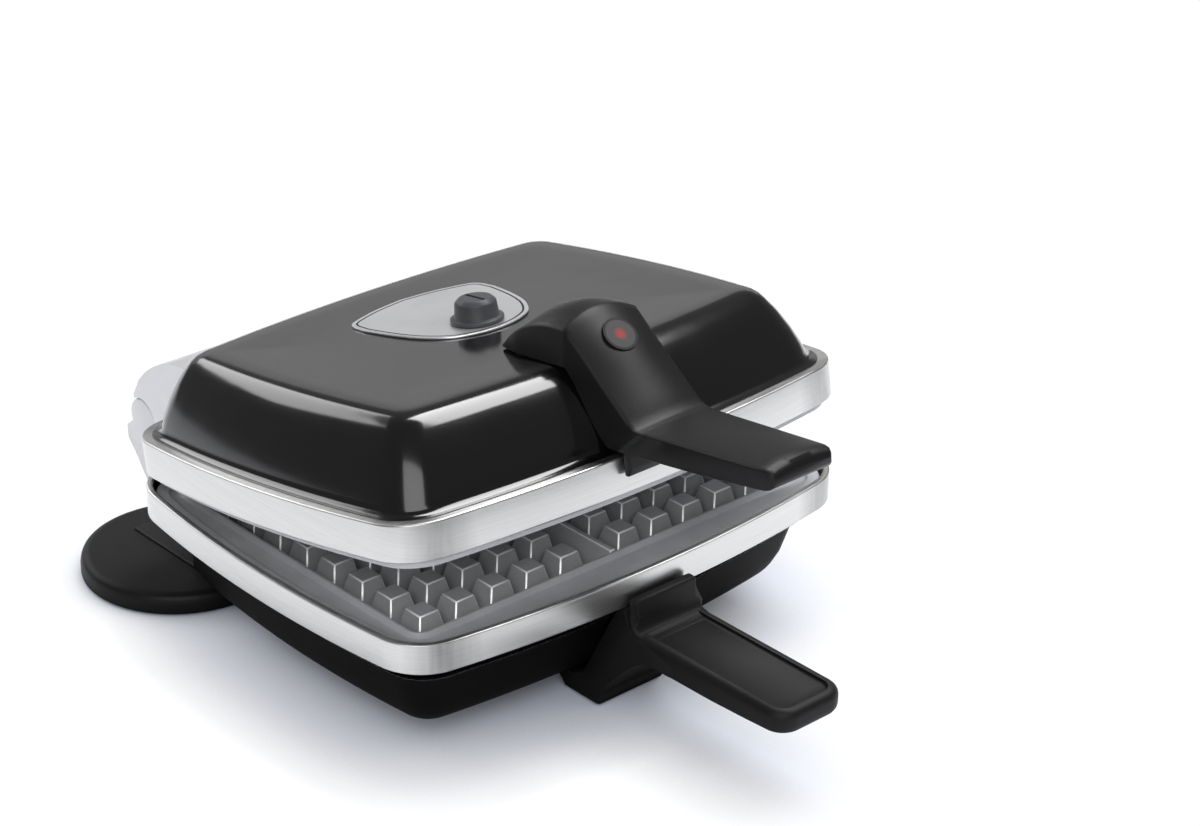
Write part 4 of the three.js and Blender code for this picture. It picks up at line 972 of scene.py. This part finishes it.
def handle_row(top, bottom, top_half, bottom_half, crown):
    """Half a section from the underside's middle round the side to the top's middle."""
    bottom = Vector(bottom)
    up = Vector(top) - bottom
    rise = up.length
    up.normalize()
    edge = min(0.8, rise / 4)
    outline = [(0, 0), (bottom_half - edge, 0), (bottom_half, edge), (top_half, rise - edge)]
    outline.append((top_half - edge * 0.3, rise - edge * 0.3))
    for share in (0.955, 0.88, 0.76, 0.62, 0.46, 0.3, 0.15, 0):
        outline.append((top_half * share, rise + crown * (1 - share ** 2)))
    return [(x, *(bottom + up * height)) for x, height in outline]


head_top = smooth_line([(-41, 131.4), (-51, 138.6), (-63, 144.4), (-76, 147), (-87.6, 146.6)], 4)
head_low = [Vector((point.x, 129.9)) for point in head_top]
face_top = smooth_line([
    (-89.4, 146.3), (-105, 130.6), (-120, 116), (-127, 109.4), (-132, 107.6), (-140, 107.2),
    (-175, 106.5), (-206.5, 105.9),
])
face_low = smooth_line([
    (-90.2, 130.4), (-95, 122), (-102, 108), (-109, 97.5), (-116, 95.8), (-124, 95.4),
    (-170, 95.4), (-205.8, 96.4),
])
handle_rows = []
for place, (top, low) in enumerate(zip(head_top, head_low)):
    share = place / (len(head_top) - 1)
    half = NARROW_HALF + (WIDE_HALF - NARROW_HALF) * min(1, share * 3)
    head_crown = 0.4 + 11 * share ** 0.6 - 5.1 * share
    handle_rows.append(handle_row(top, low, half, half + 2 * share, head_crown))
for place, (top, low) in enumerate(zip(face_top, face_low)):
    share = place / (len(face_top) - 1)
    taper = (WIDE_HALF - NARROW_HALF) * max(0, (share - 0.5) * 2)
    flare = (FLARED_HALF - WIDE_HALF) * min(1, share * 2.4)
    crown = 6.2 - 3.8 * min(1, share * 2)
    handle_rows.append(handle_row(top, low, WIDE_HALF - taper, FLARED_HALF - flare - taper, crown))
for top, low, half, crown in (
    ((-209.3, 105.4), (-208.6, 97.0), 18.3, 2),
    ((-211, 104.2), (-210.6, 98.2), 17.4, 1.2),
    ((-211.9, 102.4), (-211.8, 100.0), 16.2, 0.4),
):
    handle_rows.append(handle_row(top, low, half, half, crown))
upper_handle = draw_rows("upper_handle_moulding", handle_rows)
mirror_across(upper_handle, "X")
close_rows(upper_handle, handle_rows[0], handle_rows[-1])
bpy.ops.object.mode_set(mode="OBJECT")
upper_guard = side_prism("upper_guard", [
    (-118.3, 99), (-118.3, 84.2), (-120.6, 84.2), (-123, 88), (-123.4, 99),
], -19.5, 19.5, 0.8)
fuse(upper_handle, upper_guard)
handle_plastic = matte_plastic("handle_plastic", "0c0c0d", "141416", 0.36)
settle(upper_handle, "lid", ["upper_handle"], handle_plastic, 32, opened=True)


# Carried-over CAD nodes
# Steel pins, screws and plate posts, the heating elements with their reflectors, the cast hinge
# covers, rubber pads, switch, lens and lamp keep their CAD shape and get their own finishes.


def plain_metal(name, low, high, rough, metallic=1.0):
    finish = new_finish(name)
    cloud = finish.noise(120, 3)
    return finish.surface(
        Base_Color=finish.blend(cloud, tone(low), tone(high)),
        Metallic=metallic,
        Roughness=rough + cloud * 0.12,
        Normal=finish.bump(cloud, 0.0001, 0.5),
    )


def dress(finish, *names):
    for name in names:
        node = nodes[name]
        if node.material_slots:
            node.material_slots[0].material = finish
        else:
            node.data.materials.append(finish)


dress(casting, "upper_hinge_left", "upper_hinge_right")
pin_steel = plain_metal("pin_steel", "8f8f92", "b4b4b6", 0.3)
for side in ("left", "right"):
    dress(
        pin_steel, f"hinge_pin_{side}", f"upper_handle_screw_{side}",
        f"lower_handle_screw_{side}", f"lower_plate_spring_{side}", f"upper_plate_spring_{side}",
    )
sheath = plain_metal("heated_sheath", "3f3a36", "6b625a", 0.5)
dress(sheath, "lower_heating_element", "upper_heating_element")
bright_sheet = plain_metal("reflector_sheet", "b8babd", "dadcdf", 0.22)
dress(bright_sheet, "lower_reflector", "upper_reflector")
rubber = matte_plastic("rubber", "0e0e0f", "181819", 0.7)
dress(rubber, "foot_pad_front", "foot_pad_left", "foot_pad_right", "cord_gland")
dress(matte_plastic("switch_plastic", "3b3c40", "4c4d52"), "thermostat_body")


def lens_finish(middle):
    """Grey plastic with a dark rim, and a painted red glow in its middle where the lamp shines
    through.
    """
    finish = new_finish("lens_grey")
    ends = {0: finish.place(), 1: middle}
    reach = finish.node("ShaderNodeVectorMath", {"operation": "DISTANCE"}, ends, output="Value")
    centimetres = reach * 100
    cloud = finish.noise(300, 2)
    painted_lamp_glow = finish.ramp(
        centimetres + cloud * 0.06,
        (0.0, tone("a53436")), (0.24, tone("862f31")), (0.4, tone("3d3a3c")),
    )
    rim = finish.ramp(centimetres, (0.72, 0), (0.76, 1))
    return finish.surface(
        Base_Color=finish.blend(rim, painted_lamp_glow, tone("101011")),
        Roughness=0.45 + cloud * 0.1,
        Specular_IOR_Level=0.2,
    )


lens_low, lens_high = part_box("pilot_lens")
dress(lens_finish((lens_low + lens_high) / 2), "pilot_lens")
dress(plain_metal("lamp_red", "9c2a2c", "c8393c", 0.3, 0.0), "pilot_lamp")
